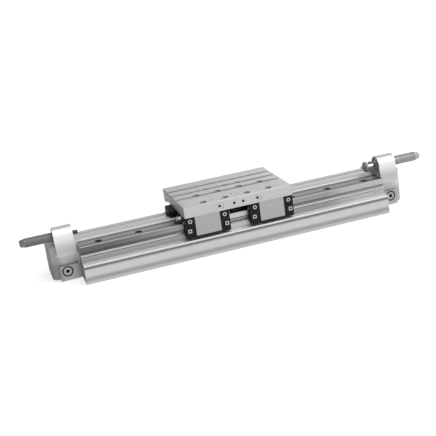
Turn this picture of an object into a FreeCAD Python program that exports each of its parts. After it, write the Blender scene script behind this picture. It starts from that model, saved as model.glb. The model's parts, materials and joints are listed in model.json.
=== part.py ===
import FreeCAD, Part
import os

from FreeCAD import Vector

# Rodless pneumatic cylinder with a profile rail guide in front of its barrel.
# Millimetres. X runs along the stroke, Y to the rear and Z up, and the origin is the middle of the base.
# A depth is measured to the rear from the front face of the rail carrier.

profile_length = 480.0
centre_depth = 61.5
thread_grip = 9.0
slide_gap = 0.4
side_gap = 0.3
running_gap = 0.05

# Rail carrier
carrier_depth = 49.0
carrier_height = 29.0
carrier_wall = 3.2
carrier_roof = 8.0
carrier_floor = 4.0
groove_height = 24.5
groove_width = 1.2
groove_depth = 3.0
strip_low = 7.0
strip_high = 12.0
strip_depth = 0.8
carrier_rib = 3.0
chamber_count = 3
carrier_edge = 1.2

# Guide rail
rail_line = 24.2
rail_width = 23.0
rail_height = 24.3
rail_foot_height = 4.6
rail_foot_inset = 0.4
rail_mark_height = 8.2
rail_mark_depth = 0.8
rail_shoulder_height = 9.3
rail_waist_inset = 2.2
rail_waist_height = 13.5
rail_head_inset = 0.5
rail_head_drop = 8.4
rail_crown_edge = 1.0
rail_hole_pitch = 60.0
rail_end_margin = 30.0
rail_screw_r = 3.0
rail_bore_gap = 0.5
rail_head_r = 5.0
rail_head_height = 6.0
rail_head_sink = 9.0
rail_screw_reach = 6.5

# Barrel
barrel_width = 41.0
barrel_bottom = 0.0
barrel_top = 53.3
barrel_corner = 3.0
bore_r = 12.5
bore_height = 31.0
slot_width = 9.0
cover_seat_width = 14.6
cover_seat_depth = 1.1
inner_seat_width = 13.0
inner_seat_rise = 0.15
inner_seat_height = 0.95
nut_slot_width = 6.0
nut_slot_lip = 2.0
nut_cavity_width = 9.0
nut_cavity_depth = 3.2
front_slot_height = 16.5
rear_slot_heights = (16.5, 31.0)
base_slot_offset = 12.0
base_slot_depth = 1.6
air_duct_r = 2.8
air_duct_offset = 5.0
air_duct_height = 10.0
tie_offset = 15.5
tie_low = 8.5
tie_high = 45.5
tie_r = 2.0
carrier_screw_pitch = 84.0
carrier_screw_count = 6
carrier_screw_r = 2.5
carrier_head_r = 4.2
carrier_head_height = 4.0
nut_length = 14.0

# Bands
cover_band_width = 14.0
cover_band_thickness = 0.6
inner_band_width = 12.4
inner_band_thickness = 0.8
band_tail = 6.0
cover_lift_outer = 62.0
cover_lift_inner = 31.0
cover_lift = 6.4
inner_dip_outer = 51.0
inner_dip_inner = 33.0
inner_dip = 7.6
band_clamp_width = 14.0
band_clamp_length = 5.0
band_pocket_gap = 0.4

# End caps
cap_flange = 3.0
cap_length = 39.0
bracket_length = 28.3
cap_gap = 3.0
port_block_front = 32.6
port_block_bottom = 1.6
port_block_top = 24.3
port_block_length = 31.3
cap_neck_depth = 37.0
cap_rear = 93.4
cap_bottom = 3.5
cap_height = 54.4
cap_corner = 4.0
cap_front_corner = 10.0
spigot_length = 12.0
spigot_gap = 0.1
ring_width = 2.6
ring_depth = 1.4
chamber_r = 6.5
chamber_length = 24.0
port_inset = 20.0
port_height = 15.5
port_r = 4.28
port_depth = 14.0
duct_r = 3.0
port_face_r = 8.2
port_face_depth = 1.6
plug_head_r = 6.6
plug_grip = 9.0
plug_hex = 5.0
plug_hex_depth = 5.0
tie_head_r = 3.5
tie_head_height = 4.0
tie_head_sink = 6.0
tie_grip = 14.0
cushion_r = 5.0
cushion_bore_r = 2.5
cushion_length = 34.0
needle_r = 2.5
needle_height = 30.0
needle_depth = 83.0
needle_length = 12.0
needle_slot = 0.8

# Shock absorber bracket
shock_depth = 43.8
shock_rise = 3.4
arch_r = 13.5
apron_front = 24.5
apron_bottom = 41.5
apron_bulge = 0.9
saddle_rear = 86.0
saddle_thickness = 4.4
saddle_fillet = 5.0
bracket_screw_depth = 80.0
bracket_screw_inset = 8.0
bracket_screw_r = 2.0
bracket_head_r = 3.5
bracket_head_height = 4.0
nut_sink_r = 10.6
nut_sink_depth = 5.0

# Shock absorber
shock_r = 7.0
shock_reach = 79.0
shock_tip_length = 7.0
shock_tip_r = 5.2
shock_cavity_r = 5.0
shock_mouth = 9.0
shock_back_wall = 12.0
plunger_r = 3.0
plunger_piston_length = 6.0
plunger_stub = 8.4
bumper_r = 8.0
bumper_thickness = 4.5
bumper_face = 16.5
bumper_edge = 1.0
lock_nut_flats = 17.0
lock_nut_height = 4.0

# Runner blocks
block_width = 48.0
block_body_length = 38.4
block_cap_length = 12.8
block_cap_inset = 0.4
block_bottom = 34.2
block_roof = 11.3
block_edge = 1.2
wiper_thickness = 1.8
bottom_seal_height = 2.0
block_screw_offset = 11.0
block_screw_column = 13.0
nipple_r = 3.4
nipple_neck_r = 1.6
nipple_length = 7.5
nipple_drop = 5.6
cap_screw_offset = 16.0
cap_screw_drop = 8.0
cap_screw_r = 1.5
cap_screw_head_r = 2.6
cap_screw_head = 2.0
cap_plug_place = 7.4
cap_plug_drop = 6.2
cap_plug_r = 2.9
cap_plug_hole_r = 1.9
cap_plug_height = 0.8
cap_lug_place = 9.4
cap_lug_drop = 20.6
cap_lug_width = 5.4

# Mounting plate
plate_length = 168.0
plate_depth = 123.0
plate_thickness = 16.0
plate_lip_width = 10.0
plate_lip_height = 4.0
plate_edge = 0.6
tee_first = 45.5
tee_pitch = 24.0
tee_count = 3
tee_mouth = 7.0
tee_lip = 2.8
tee_width = 10.0
tee_cavity = 3.6
tee_entry_r = 4.6
tee_entry_columns = (-30.0, 0.0, 22.0)
plate_screw_r = 2.5
plate_head_r = 4.2
plate_head_height = 5.0
plate_sink_r = 4.5
plate_sink_depth = 8.0
screw_cap_thickness = 1.6
load_hole_columns = (17.0, 51.0)
load_hole_rows = (10.3, 49.3)
load_hole_r = 3.0
load_hole_depth = 13.0
load_sink_r = 5.25
load_sink_depth = 8.0
dowel_r = 1.5
dowel_depth = 8.0
dowel_column = 4.0
dowel_line = 20.5
front_hole_r = 2.1
front_hole_depth = 12.0
front_hole_drop = 8.6
front_inner_column = 7.0
front_outer_column = 29.5
front_ring_r = 5.8
front_ring_depth = 0.5

# Driver, yoke and pistons
driver_inset = 6.0
driver_width = 40.0
driver_gap = 0.7
driver_channel_width = 14.8
driver_channel_height = 7.6
driver_screw_r = 2.0
driver_head_r = 3.5
driver_head_height = 4.0
driver_screw_column = 36.0
driver_screw_offset = 14.0
neck_gap = 0.3
neck_length = 60.0
flange_length = 50.0
flange_width = 28.0
flange_rise = 1.1
flange_thickness = 3.2
flange_screw_column = 18.0
flange_screw_offset = 11.0
flange_screw_r = 1.5
flange_head_r = 2.8
flange_head_height = 3.0
yoke_r = 11.7
yoke_half = 52.0
tunnel_width = 13.2
tunnel_height = 3.4
tunnel_below = 1.0
piston_length = 20.0
piston_gap = 0.3
piston_seat_r = 8.0
piston_seat_depth = 8.0
piston_bore_gap = 0.4
piston_bore_depth = 12.0
seal_width = 2.6
seal_depth = 2.2
wear_ring_width = 5.0
wear_ring_depth = 1.2
magnet_outer_r = 10.6
magnet_inner_r = 8.6
magnet_length = 4.0
cover_length = 15.5
cover_width = 34.0
cover_edge = 3.0
cover_screw_offset = 12.0
cover_screw_r = 1.5
cover_screw_head_r = 2.8
cover_screw_head = 2.2
band_wiper_width = 30.0
band_wiper_length = 2.5
band_wiper_rise = 4.0
band_wiper_gap = 0.1

half_length = profile_length / 2
rail_top = carrier_height + rail_height
plate_bottom = rail_top + block_roof
plate_top = plate_bottom + plate_thickness
shock_height = plate_bottom + shock_rise
barrel_line = carrier_depth + barrel_width / 2
barrel_rear = carrier_depth + barrel_width
bore_crown = bore_height + bore_r
cover_floor = barrel_top - cover_seat_depth
inner_seat_low = bore_crown + inner_seat_rise
inner_seat_high = inner_seat_low + inner_seat_height
inner_band_low = inner_seat_high - inner_band_thickness
seal_bottom = block_bottom - bottom_seal_height
driver_bottom = barrel_top + driver_gap
flange_low = barrel_top + flange_rise
flange_high = flange_low + flange_thickness
tunnel_low = inner_band_low - inner_dip - tunnel_below
tunnel_high = tunnel_low + tunnel_height
neck_width = slot_width - 2 * neck_gap
cap_inner = half_length
cap_outer = half_length + cap_gap + cap_length
port_x = half_length + port_inset
bracket_end = half_length + cap_gap + bracket_length
block_centre = plate_length / 2 - block_body_length / 2 - block_cap_length - wiper_thickness
driver_length = plate_length - 2 * driver_inset


def behind(depth):
    """Y of a point at this depth behind the carrier's front face."""
    return depth - centre_depth


def brick(x0, x1, d0, d1, z0, z1):
    """Box between two X, two depths and two heights."""
    return Part.makeBox(x1 - x0, d1 - d0, z1 - z0, Vector(x0, behind(d0), z0))


def spread(line, width):
    """Front and rear depth of a strip of this width about a line."""
    return line - width / 2, line + width / 2


def rod_x(r, x0, x1, depth, z):
    """Cylinder along X."""
    return Part.makeCylinder(r, x1 - x0, Vector(x0, behind(depth), z), Vector(1, 0, 0))


def rod_y(r, d0, d1, x, z):
    """Cylinder along Y."""
    return Part.makeCylinder(r, d1 - d0, Vector(x, behind(d0), z), Vector(0, 1, 0))


def rod_z(r, z0, z1, x, depth):
    """Cylinder along Z."""
    return Part.makeCylinder(r, z1 - z0, Vector(x, behind(depth), z0), Vector(0, 0, 1))


def hexagon(flats, length, place, direction):
    """Hexagonal prism of this width across flats, from a place along a direction."""
    turn = FreeCAD.Rotation(Vector(0, 0, 1), direction)
    corner_r = flats / 3 ** 0.5
    corner = [FreeCAD.Rotation(Vector(0, 0, 1),
                               60 * step).multVec(Vector(corner_r, 0, 0)) for step in range(6)]
    ring = [place + turn.multVec(point) for point in corner]
    ring.append(ring[0])
    along = Vector(direction).normalize() * length
    return Part.Face(Part.makePolygon(ring)).extrude(along)


def extrude_section(section, x0, x1):
    """Prism along X of a closed section given as (depth, height) corners."""
    ring = [Vector(x0, behind(depth), z) for depth, z in section]
    ring.append(ring[0])
    return Part.Face(Part.makePolygon(ring)).extrude(Vector(x1 - x0, 0, 0))


def extrude_side(outline, d0, d1):
    """Prism along Y of a closed outline given as (x, height) corners."""
    ring = [Vector(x, behind(d0), z) for x, z in outline]
    ring.append(ring[0])
    return Part.Face(Part.makePolygon(ring)).extrude(Vector(0, d1 - d0, 0))


def mirrored(shape):
    """The same piece at the other end of the cylinder."""
    return shape.mirror(Vector(0, 0, 0), Vector(1, 0, 0))


def both_ends(shapes):
    """A list of pieces with their mirror images."""
    return shapes + [mirrored(shape) for shape in shapes]


def round_edges(shape, radius, wanted):
    """Fillet the straight edges that the test picks."""
    return shape.makeFillet(radius, [edge for edge in shape.Edges if wanted(edge)])


def runs_along(edge, axis):
    """True for a straight edge that is parallel to the axis."""
    if edge.Curve.TypeId != "Part::GeomLine":
        return False
    way = edge.Vertexes[1].Point - edge.Vertexes[0].Point
    return abs(abs(way.normalize().dot(axis)) - 1) < 1e-6


def socket_screw(shank_r, head_r, head_height, length, place, direction):
    """Socket head screw with its head's underside at the place and its shank along the direction."""
    way = Vector(direction).normalize()
    shank = Part.makeCylinder(shank_r, length, place, way)
    head = Part.makeCylinder(head_r, head_height, place - way * head_height, way)
    socket = hexagon(head_r, head_height * 0.6, place - way * head_height, way)
    return shank.fuse(head).cut(socket)


def save(name, *shapes):
    """Write one node from one or more separate solids."""
    solids = [solid for shape in shapes for solid in shape.Solids]
    shape = solids[0] if len(solids) == 1 else Part.makeCompound(solids)
    shape.exportStep("parts/" + name + ".step")


def rail_positions():
    """X of every screw of the guide rail."""
    count = int((profile_length - 2 * rail_end_margin) / rail_hole_pitch + 0.001) + 1
    start = -rail_hole_pitch * (count - 1) / 2
    return [start + rail_hole_pitch * step for step in range(count)]


def carrier_positions():
    """X of every screw that holds the carrier on the barrel."""
    start = -carrier_screw_pitch * (carrier_screw_count - 1) / 2
    return [start + carrier_screw_pitch * step for step in range(carrier_screw_count)]


def tie_positions():
    """Depth and height of the four screws of an end cap."""
    return [(barrel_line + side * tie_offset, z) for side in (-1, 1) for z in (tie_low, tie_high)]


def tee_positions():
    """Depth of each T-slot of the plate."""
    return [tee_first + tee_pitch * step for step in range(tee_count)]


def rail_section(gap=0.0):
    """Corners of the guide rail's section, grown by a gap."""
    half = rail_width / 2 + gap
    top = rail_height + gap
    right = [
        (half - rail_foot_inset, 0.0),
        (half - rail_foot_inset, rail_foot_height - rail_foot_inset),
        (half, rail_foot_height),
        (half, rail_mark_height - rail_mark_depth / 2),
        (half - rail_mark_depth, rail_mark_height),
        (half, rail_mark_height + rail_mark_depth / 2),
        (half, rail_shoulder_height + gap),
        (half - rail_waist_inset, rail_shoulder_height + rail_waist_inset + gap),
        (half - rail_waist_inset, rail_waist_height - gap),
        (half - rail_head_inset, rail_height - rail_head_drop - gap),
        (half - rail_head_inset, top - rail_crown_edge),
        (half - rail_head_inset - rail_crown_edge, top),
    ]
    left = [(-wide, z) for wide, z in reversed(right)]
    return [(rail_line + wide, carrier_height + z) for wide, z in right + left]


def chamber_spans():
    """Front and rear depth of each hollow chamber of the carrier."""
    front = carrier_wall + groove_depth
    rear = carrier_depth - carrier_wall
    width = (rear - front - carrier_rib * (chamber_count - 1)) / chamber_count
    return [(front + step * (width + carrier_rib), front + step * (width + carrier_rib) + width)
            for step in range(chamber_count)]


def make_carrier():
    """Hollow profile that carries the guide rail in front of the barrel."""
    body = brick(-half_length, half_length, 0, carrier_depth, 0, carrier_height)
    body = round_edges(body, carrier_edge,
                       lambda e: runs_along(e, Vector(1, 0, 0)) and e.BoundBox.YMax < behind(1.0))
    chambers = [brick(-half_length, half_length, front, rear, carrier_floor, carrier_height - carrier_roof)
                for front, rear in chamber_spans()]
    groove = brick(-half_length, half_length, 0, groove_depth, groove_height, groove_height + groove_width)
    strip = brick(-half_length, half_length, 0, strip_depth, strip_low, strip_high)
    holes = [rod_z(rail_screw_r, carrier_height - carrier_roof, carrier_height, x, rail_line)
             for x in rail_positions()]
    side = [rod_y(carrier_screw_r, carrier_depth - carrier_wall, carrier_depth, x, front_slot_height)
            for x in carrier_positions()]
    return body.cut(chambers + [groove, strip] + holes + side)


def make_rail():
    """Profile guide rail with counterbored holes."""
    rail = extrude_section(rail_section(), -half_length, half_length)
    cuts = []
    for x in rail_positions():
        cuts.append(rod_z(rail_screw_r + rail_bore_gap, carrier_height, rail_top, x, rail_line))
        cuts.append(rod_z(rail_head_r + rail_bore_gap, rail_top - rail_head_sink, rail_top, x, rail_line))
    return rail.cut(cuts)


def make_rail_screws():
    """Screws that hold the rail on the carrier."""
    seat = rail_top - rail_head_sink
    length = seat - carrier_height + rail_screw_reach
    return [socket_screw(rail_screw_r, rail_head_r, rail_head_height, length,
                         Vector(x, behind(rail_line), seat), Vector(0, 0, -1)) for x in rail_positions()]


def nut_slot(face, inward, z):
    """T-slot along the barrel in a side face, open at the face and wider inside."""
    lip = face + inward * nut_slot_lip
    floor = lip + inward * nut_cavity_depth
    half_mouth = nut_slot_width / 2
    half_nut = nut_cavity_width / 2
    mouth = brick(-half_length, half_length, min(face, lip), max(face, lip), z - half_mouth, z + half_mouth)
    cavity = brick(-half_length, half_length, min(lip, floor), max(lip, floor), z - half_nut, z + half_nut)
    return mouth.fuse(cavity)


def make_barrel():
    """Barrel profile: bore, open slot for the yoke, band seats and T-slots."""
    body = brick(-half_length, half_length, carrier_depth, barrel_rear, barrel_bottom, barrel_top)
    body = round_edges(body, barrel_corner, lambda e: runs_along(e, Vector(1, 0, 0)))
    bore = rod_x(bore_r, -half_length, half_length, barrel_line, bore_height)
    slot = brick(-half_length, half_length, *spread(barrel_line, slot_width),
                 bore_height, barrel_top)
    cover = brick(-half_length, half_length, *spread(barrel_line, cover_seat_width),
                  cover_floor, barrel_top)
    inner = brick(-half_length, half_length, *spread(barrel_line, inner_seat_width),
                  bore_height, inner_seat_high)
    ties = [rod_x(tie_r, -half_length, half_length, depth, z) for depth, z in tie_positions()]
    base = []
    for side in (-1, 1):
        line = barrel_line + side * base_slot_offset
        base.append(brick(-half_length, half_length, *spread(line, nut_slot_width),
                          barrel_bottom, barrel_bottom + base_slot_depth))
        base.append(rod_x(air_duct_r, -half_length, half_length, barrel_line + side * air_duct_offset,
                          air_duct_height))
    rear = [nut_slot(barrel_rear, -1, z) for z in rear_slot_heights]
    front = nut_slot(carrier_depth, 1, front_slot_height)
    return body.cut([bore.fuse([slot, cover, inner]), front] + rear + ties + base)


def make_carrier_fixings():
    """Screws and slot nuts that hold the carrier against the barrel."""
    seat = carrier_depth - carrier_wall
    nut_front = carrier_depth + nut_slot_lip
    nut_rear = nut_front + nut_cavity_depth - slide_gap
    screws = []
    nuts = []
    for x in carrier_positions():
        place = Vector(x, behind(seat), front_slot_height)
        screws.append(socket_screw(carrier_screw_r, carrier_head_r, carrier_head_height, nut_rear - seat,
                                   place, Vector(0, 1, 0)))
        half_nut = nut_cavity_width / 2 - slide_gap
        nut = brick(x - nut_length / 2, x + nut_length / 2, nut_front, nut_rear,
                    front_slot_height - half_nut, front_slot_height + half_nut)
        nuts.append(nut.cut(rod_y(carrier_screw_r, nut_front, nut_rear, x, front_slot_height)))
    return screws, nuts


def band(low, thickness, width, outer, inner, shift):
    """Flat band along the barrel that leaves its seat under the carriage."""
    end = half_length + band_tail
    lower = [(-end, low), (-outer, low), (-inner, low + shift), (inner, low + shift), (outer, low),
             (end, low)]
    upper = [(x, z + thickness) for x, z in reversed(lower)]
    return extrude_side(lower + upper, *spread(barrel_line, width))


def make_cover_band():
    """Outer steel band that closes the slot and rises over the yoke."""
    return band(cover_floor, cover_band_thickness, cover_band_width, cover_lift_outer, cover_lift_inner,
                cover_lift)


def make_inner_band():
    """Inner sealing band that dips through the yoke between the pistons."""
    return band(inner_band_low, inner_band_thickness, inner_band_width, inner_dip_outer, inner_dip_inner,
                -inner_dip)


def make_cap():
    """Right end cap: port block, neck, flange, spigot, air passages and screw holes."""
    start = cap_inner
    flange_end = start + cap_flange
    block = brick(flange_end, start + port_block_length, port_block_front, cap_rear, port_block_bottom,
                  port_block_top)
    neck = brick(start, cap_outer, cap_neck_depth, cap_rear, cap_bottom, cap_height)
    neck = round_edges(neck, cap_front_corner, lambda e:
                       runs_along(e, Vector(0, 0, 1)) and e.BoundBox.XMin > start + 1
                       and e.BoundBox.YMax < behind(cap_rear) - 1)
    neck = round_edges(neck, cap_corner, lambda e:
                       runs_along(e, Vector(0, 0, 1)) and e.BoundBox.XMin > start + 1
                       and e.BoundBox.YMin > behind(cap_rear) - 1)
    flange = brick(start, flange_end, cap_neck_depth - cap_flange, cap_rear, port_block_bottom, cap_height)
    spigot = rod_x(bore_r - spigot_gap, start - spigot_length, start, barrel_line, bore_height)
    body = block.fuse([neck, flange, spigot])
    groove_x = start - spigot_length / 2
    ring = rod_x(bore_r, groove_x - ring_width / 2, groove_x + ring_width / 2, barrel_line, bore_height)
    ring = ring.cut(rod_x(bore_r - ring_depth, groove_x - ring_width, groove_x + ring_width, barrel_line,
                          bore_height))
    chamber = rod_x(chamber_r, start, start + chamber_length, barrel_line, bore_height)
    throat = rod_x(cushion_r, start - spigot_length, start, barrel_line, bore_height)
    front_port = rod_y(port_r, port_block_front, port_block_front + port_depth, port_x, port_height)
    rear_port = rod_y(port_r, barrel_line, cap_rear, port_x, port_height)
    gallery = rod_y(duct_r, port_block_front, barrel_line, port_x, port_height)
    front_face = rod_y(port_face_r, port_block_front, port_block_front + port_face_depth, port_x, port_height)
    rear_face = rod_y(port_face_r, cap_rear - port_face_depth, cap_rear, port_x, port_height)
    duct = rod_z(duct_r, port_height, bore_height, port_x, barrel_line)
    cuts = [ring, chamber, throat, front_port, rear_port, gallery, duct, front_face, rear_face]
    for depth, z in tie_positions():
        cuts.append(rod_x(tie_r, start, cap_outer, depth, z))
        cuts.append(rod_x(tie_head_r + side_gap, cap_outer - tie_head_sink, cap_outer, depth, z))
    half_pocket = band_clamp_width / 2 + band_pocket_gap
    cuts.append(brick(start, start + band_tail + band_clamp_length, barrel_line - half_pocket,
                      barrel_line + half_pocket,
                      inner_band_low - band_pocket_gap, cover_floor + cover_band_thickness + band_pocket_gap))
    cuts.append(rod_x(needle_r, cap_outer - needle_length, cap_outer, needle_depth, needle_height))
    for x in bracket_screw_places():
        cuts.append(rod_z(bracket_screw_r, cap_height - thread_grip, cap_height, x, bracket_screw_depth))
    return body.cut(cuts)


def make_band_clamp():
    """Block in the right end cap that holds the ends of both bands apart."""
    low = inner_band_low + inner_band_thickness
    return brick(cap_inner, cap_inner + band_tail + band_clamp_length,
                 *spread(barrel_line, band_clamp_width), low, cover_floor)


def make_spigot_ring():
    """Seal ring on the right spigot."""
    groove_x = cap_inner - spigot_length / 2
    ring = rod_x(bore_r, groove_x - ring_width / 2, groove_x + ring_width / 2, barrel_line, bore_height)
    return ring.cut(rod_x(bore_r - ring_depth, groove_x - ring_width, groove_x + ring_width, barrel_line,
                          bore_height))


def make_cushion():
    """Cushion tube of the right end cap, which enters the piston at the end of the stroke."""
    start = cap_inner - cushion_length
    tube = rod_x(cushion_r, start, cap_inner, barrel_line, bore_height)
    tube = tube.makeChamfer(0.8, [edge for edge in tube.Edges if edge.BoundBox.XMax < start + 0.1])
    return tube.cut(rod_x(cushion_bore_r, start, cap_inner, barrel_line, bore_height))


def make_port_plug():
    """Hexagon socket plug in the right front port."""
    seat = port_block_front + port_face_depth
    head = rod_y(plug_head_r, port_block_front, seat, port_x, port_height)
    thread = rod_y(port_r, seat, seat + plug_grip, port_x, port_height)
    socket = hexagon(plug_hex, plug_hex_depth, Vector(port_x, behind(port_block_front), port_height),
                     Vector(0, 1, 0))
    return head.fuse(thread).cut(socket)


def make_tie_screws():
    """Screws that hold the right end cap on the barrel."""
    seat = cap_outer - tie_head_sink
    length = seat - cap_inner + tie_grip
    return [socket_screw(tie_r, tie_head_r, tie_head_height, length, Vector(seat, behind(depth), z),
                         Vector(-1, 0, 0))
            for depth, z in tie_positions()]


def make_needle():
    """Slotted cushion needle in the right end cap's outer face."""
    needle = rod_x(needle_r, cap_outer - needle_length, cap_outer - needle_slot, needle_depth, needle_height)
    slot = brick(cap_outer - 2.5 * needle_slot, cap_outer, needle_depth - needle_r, needle_depth + needle_r,
                 needle_height - needle_slot / 2, needle_height + needle_slot / 2)
    return needle.cut(slot)


def bracket_screw_places():
    """X of the two screws of the right bracket."""
    start = cap_inner + cap_gap
    return (start + bracket_screw_inset, bracket_end - bracket_screw_inset)


def make_bracket():
    """Right shock absorber bracket: an arch that flares into an apron and a saddle."""
    x0 = cap_inner + cap_gap
    left = shock_depth - arch_r
    right = shock_depth + arch_r

    def at(depth, z):
        return Vector(x0, behind(depth), z)

    middle = (apron_bottom + shock_height) / 2
    lean = (left + apron_front) / 2 + apron_bulge
    saddle_top = cap_height + saddle_thickness
    bend = saddle_fillet * (1 - 0.5 ** 0.5)
    edges = [
        Part.LineSegment(at(cap_neck_depth, apron_bottom), at(apron_front, apron_bottom)).toShape(),
        Part.Arc(at(apron_front, apron_bottom), at(lean, middle), at(left, shock_height)).toShape(),
        Part.Arc(at(left, shock_height), at(shock_depth, shock_height + arch_r),
                 at(right, shock_height)).toShape(),
        Part.LineSegment(at(right, shock_height), at(right, saddle_top + saddle_fillet)).toShape(),
        Part.Arc(at(right, saddle_top + saddle_fillet), at(right + bend, saddle_top + bend),
                 at(right + saddle_fillet, saddle_top)).toShape(),
        Part.LineSegment(at(right + saddle_fillet, saddle_top), at(saddle_rear, saddle_top)).toShape(),
        Part.LineSegment(at(saddle_rear, saddle_top), at(saddle_rear, cap_height)).toShape(),
        Part.LineSegment(at(saddle_rear, cap_height), at(cap_neck_depth, cap_height)).toShape(),
        Part.LineSegment(at(cap_neck_depth, cap_height), at(cap_neck_depth, apron_bottom)).toShape(),
    ]
    body = Part.Face(Part.Wire(edges)).extrude(Vector(bracket_length, 0, 0))
    cuts = [rod_x(shock_r, x0, bracket_end, shock_depth, shock_height),
            rod_x(nut_sink_r, x0, x0 + nut_sink_depth, shock_depth, shock_height)]
    for x in bracket_screw_places():
        cuts.append(rod_z(bracket_screw_r, cap_height, saddle_top, x, bracket_screw_depth))
    return body.cut(cuts)


def make_bracket_screws():
    """Screws that hold the right bracket on its end cap."""
    seat = cap_height + saddle_thickness
    return [socket_screw(bracket_screw_r, bracket_head_r, bracket_head_height, saddle_thickness + thread_grip,
                         Vector(x, behind(bracket_screw_depth), seat), Vector(0, 0, -1))
            for x in bracket_screw_places()]


def make_shock_body():
    """Right shock absorber's body with its cavity for the plunger."""
    start = half_length + cap_gap
    end = half_length + shock_reach
    body = rod_x(shock_r, start, end - shock_tip_length, shock_depth, shock_height)
    tip = Part.makeCone(shock_r, shock_tip_r, shock_tip_length,
                        Vector(end - shock_tip_length, behind(shock_depth), shock_height), Vector(1, 0, 0))
    guide = rod_x(plunger_r + running_gap, start, start + shock_mouth, shock_depth, shock_height)
    cavity = rod_x(shock_cavity_r, start + shock_mouth, end - shock_back_wall, shock_depth, shock_height)
    return body.fuse(tip).cut([guide, cavity])


def make_lock_nut():
    """Lock nut of the right shock absorber, sunk in the bracket's inner face."""
    start = half_length + cap_gap + nut_sink_depth - lock_nut_height
    nut = hexagon(lock_nut_flats, lock_nut_height, Vector(start, behind(shock_depth), shock_height),
                  Vector(1, 0, 0))
    return nut.cut(rod_x(shock_r, start, start + lock_nut_height, shock_depth, shock_height))


def make_plunger(start):
    """Right shock absorber's rod with its damping piston, from the X of its free end."""
    inside = half_length + cap_gap + shock_mouth
    rod = rod_x(plunger_r, start, inside + side_gap, shock_depth, shock_height)
    piston = rod_x(shock_cavity_r - side_gap, inside + side_gap, inside + side_gap + plunger_piston_length,
                   shock_depth, shock_height)
    return rod.fuse(piston)


def make_bumper():
    """Bumper on the right plunger rod's end."""
    start = half_length - bumper_face
    disc = rod_x(bumper_r, start, start + bumper_thickness, shock_depth, shock_height)
    disc = disc.makeChamfer(bumper_edge,
                            [edge for edge in disc.Edges if edge.Curve.TypeId == "Part::GeomCircle"])
    return disc.cut(rod_x(plunger_r, start + bumper_thickness / 2, start + bumper_thickness, shock_depth,
                          shock_height))


def make_plate():
    """Mounting plate with T-slots, screw rows and front holes."""
    half = plate_length / 2
    body = brick(-half, half, 0, plate_depth, plate_bottom, plate_top)
    body = body.makeChamfer(plate_edge, [edge for edge in body.Edges if edge.BoundBox.ZMin > plate_top - 1])
    lip = brick(-half, half, plate_depth - plate_lip_width, plate_depth, plate_bottom - plate_lip_height,
                plate_bottom)
    body = body.fuse(lip).removeSplitter()
    cuts = []
    for depth in tee_positions():
        cuts.append(brick(-half, half, *spread(depth, tee_mouth), plate_top - tee_lip, plate_top))
        cuts.append(brick(-half, half, *spread(depth, tee_width),
                          plate_top - tee_lip - tee_cavity, plate_top - tee_lip))
    middle = tee_first + tee_pitch
    cuts += [rod_z(tee_entry_r, plate_top - tee_lip, plate_top, x, middle) for x in tee_entry_columns]
    for x, depth in block_screw_places():
        cuts.append(rod_z(plate_screw_r, plate_bottom, plate_top, x, depth))
        cuts.append(rod_z(plate_sink_r, plate_top - plate_sink_depth, plate_top, x, depth))
    for x, depth in driver_screw_places():
        cuts.append(rod_z(driver_screw_r, plate_bottom, plate_bottom + thread_grip, x, depth))
    for side in (-1, 1):
        for depth in load_hole_rows:
            for column in load_hole_columns:
                cuts.append(rod_z(load_hole_r, plate_top - load_hole_depth, plate_top, side * column, depth))
                cuts.append(rod_z(load_sink_r, plate_top - load_sink_depth, plate_top, side * column, depth))
        cuts.append(rod_z(dowel_r, plate_top - dowel_depth, plate_top, side * dowel_column, dowel_line))
        hole_z = plate_top - front_hole_drop
        for column in (front_inner_column, front_outer_column):
            cuts.append(rod_y(front_hole_r, 0, front_hole_depth, side * column, hole_z))
        cuts.append(rod_y(front_ring_r, 0, front_ring_depth, side * front_outer_column, hole_z))
    return body.cut(cuts)


def block_screw_places():
    """X and depth of the screws from the plate into both runner blocks."""
    return [(side * (block_centre + along * block_screw_column), rail_line + across * block_screw_offset)
            for side in (-1, 1) for along in (-1, 1) for across in (-1, 1)]


def make_block_screws():
    """Screws from the plate into the runner blocks."""
    seat = plate_top - plate_sink_depth
    length = seat - plate_bottom + thread_grip
    return [socket_screw(plate_screw_r, plate_head_r, plate_head_height, length,
                         Vector(x, behind(depth), seat),
                         Vector(0, 0, -1)) for x, depth in block_screw_places()]


def make_screw_caps():
    """Flush caps over the screws of the runner blocks."""
    return [rod_z(plate_sink_r - running_gap, plate_top - screw_cap_thickness, plate_top, x, depth)
            for x, depth in block_screw_places()]


def driver_screw_places():
    """X and depth of the screws between the driver and the plate."""
    return [(side * driver_screw_column, barrel_line + across * driver_screw_offset)
            for side in (-1, 1) for across in (-1, 1)]


def make_driver():
    """Block that joins the plate to the yoke and bridges the lifted cover band."""
    half = driver_length / 2
    front = barrel_line - driver_width / 2
    rear = barrel_line + driver_width / 2
    body = brick(-half, half, front, rear, driver_bottom, plate_bottom)
    channel = brick(-half, half, *spread(barrel_line, driver_channel_width),
                    driver_bottom, driver_bottom + driver_channel_height)
    pocket = brick(-flange_length / 2 - side_gap, flange_length / 2 + side_gap,
                   barrel_line - flange_width / 2 - side_gap,
                   barrel_line + flange_width / 2 + side_gap, driver_bottom, flange_high)
    cuts = [channel, pocket]
    for x, depth in driver_screw_places():
        cuts.append(rod_z(driver_screw_r, driver_bottom, plate_bottom, x, depth))
        cuts.append(rod_z(driver_head_r + side_gap, driver_bottom, driver_seat(), x, depth))
    for x, depth in flange_screw_places():
        cuts.append(rod_z(flange_screw_r, flange_high, plate_bottom, x, depth))
        cuts.append(rod_z(flange_head_r + side_gap, plate_bottom - flange_head_height - side_gap,
                          plate_bottom, x, depth))
    for side in (-1, 1):
        for across in (-1, 1):
            x0, x1 = sorted((side * half, side * (half - thread_grip)))
            cuts.append(rod_x(cover_screw_r, x0, x1, barrel_line + across * cover_screw_offset,
                              cover_screw_height()))
    return body.cut(cuts)


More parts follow.
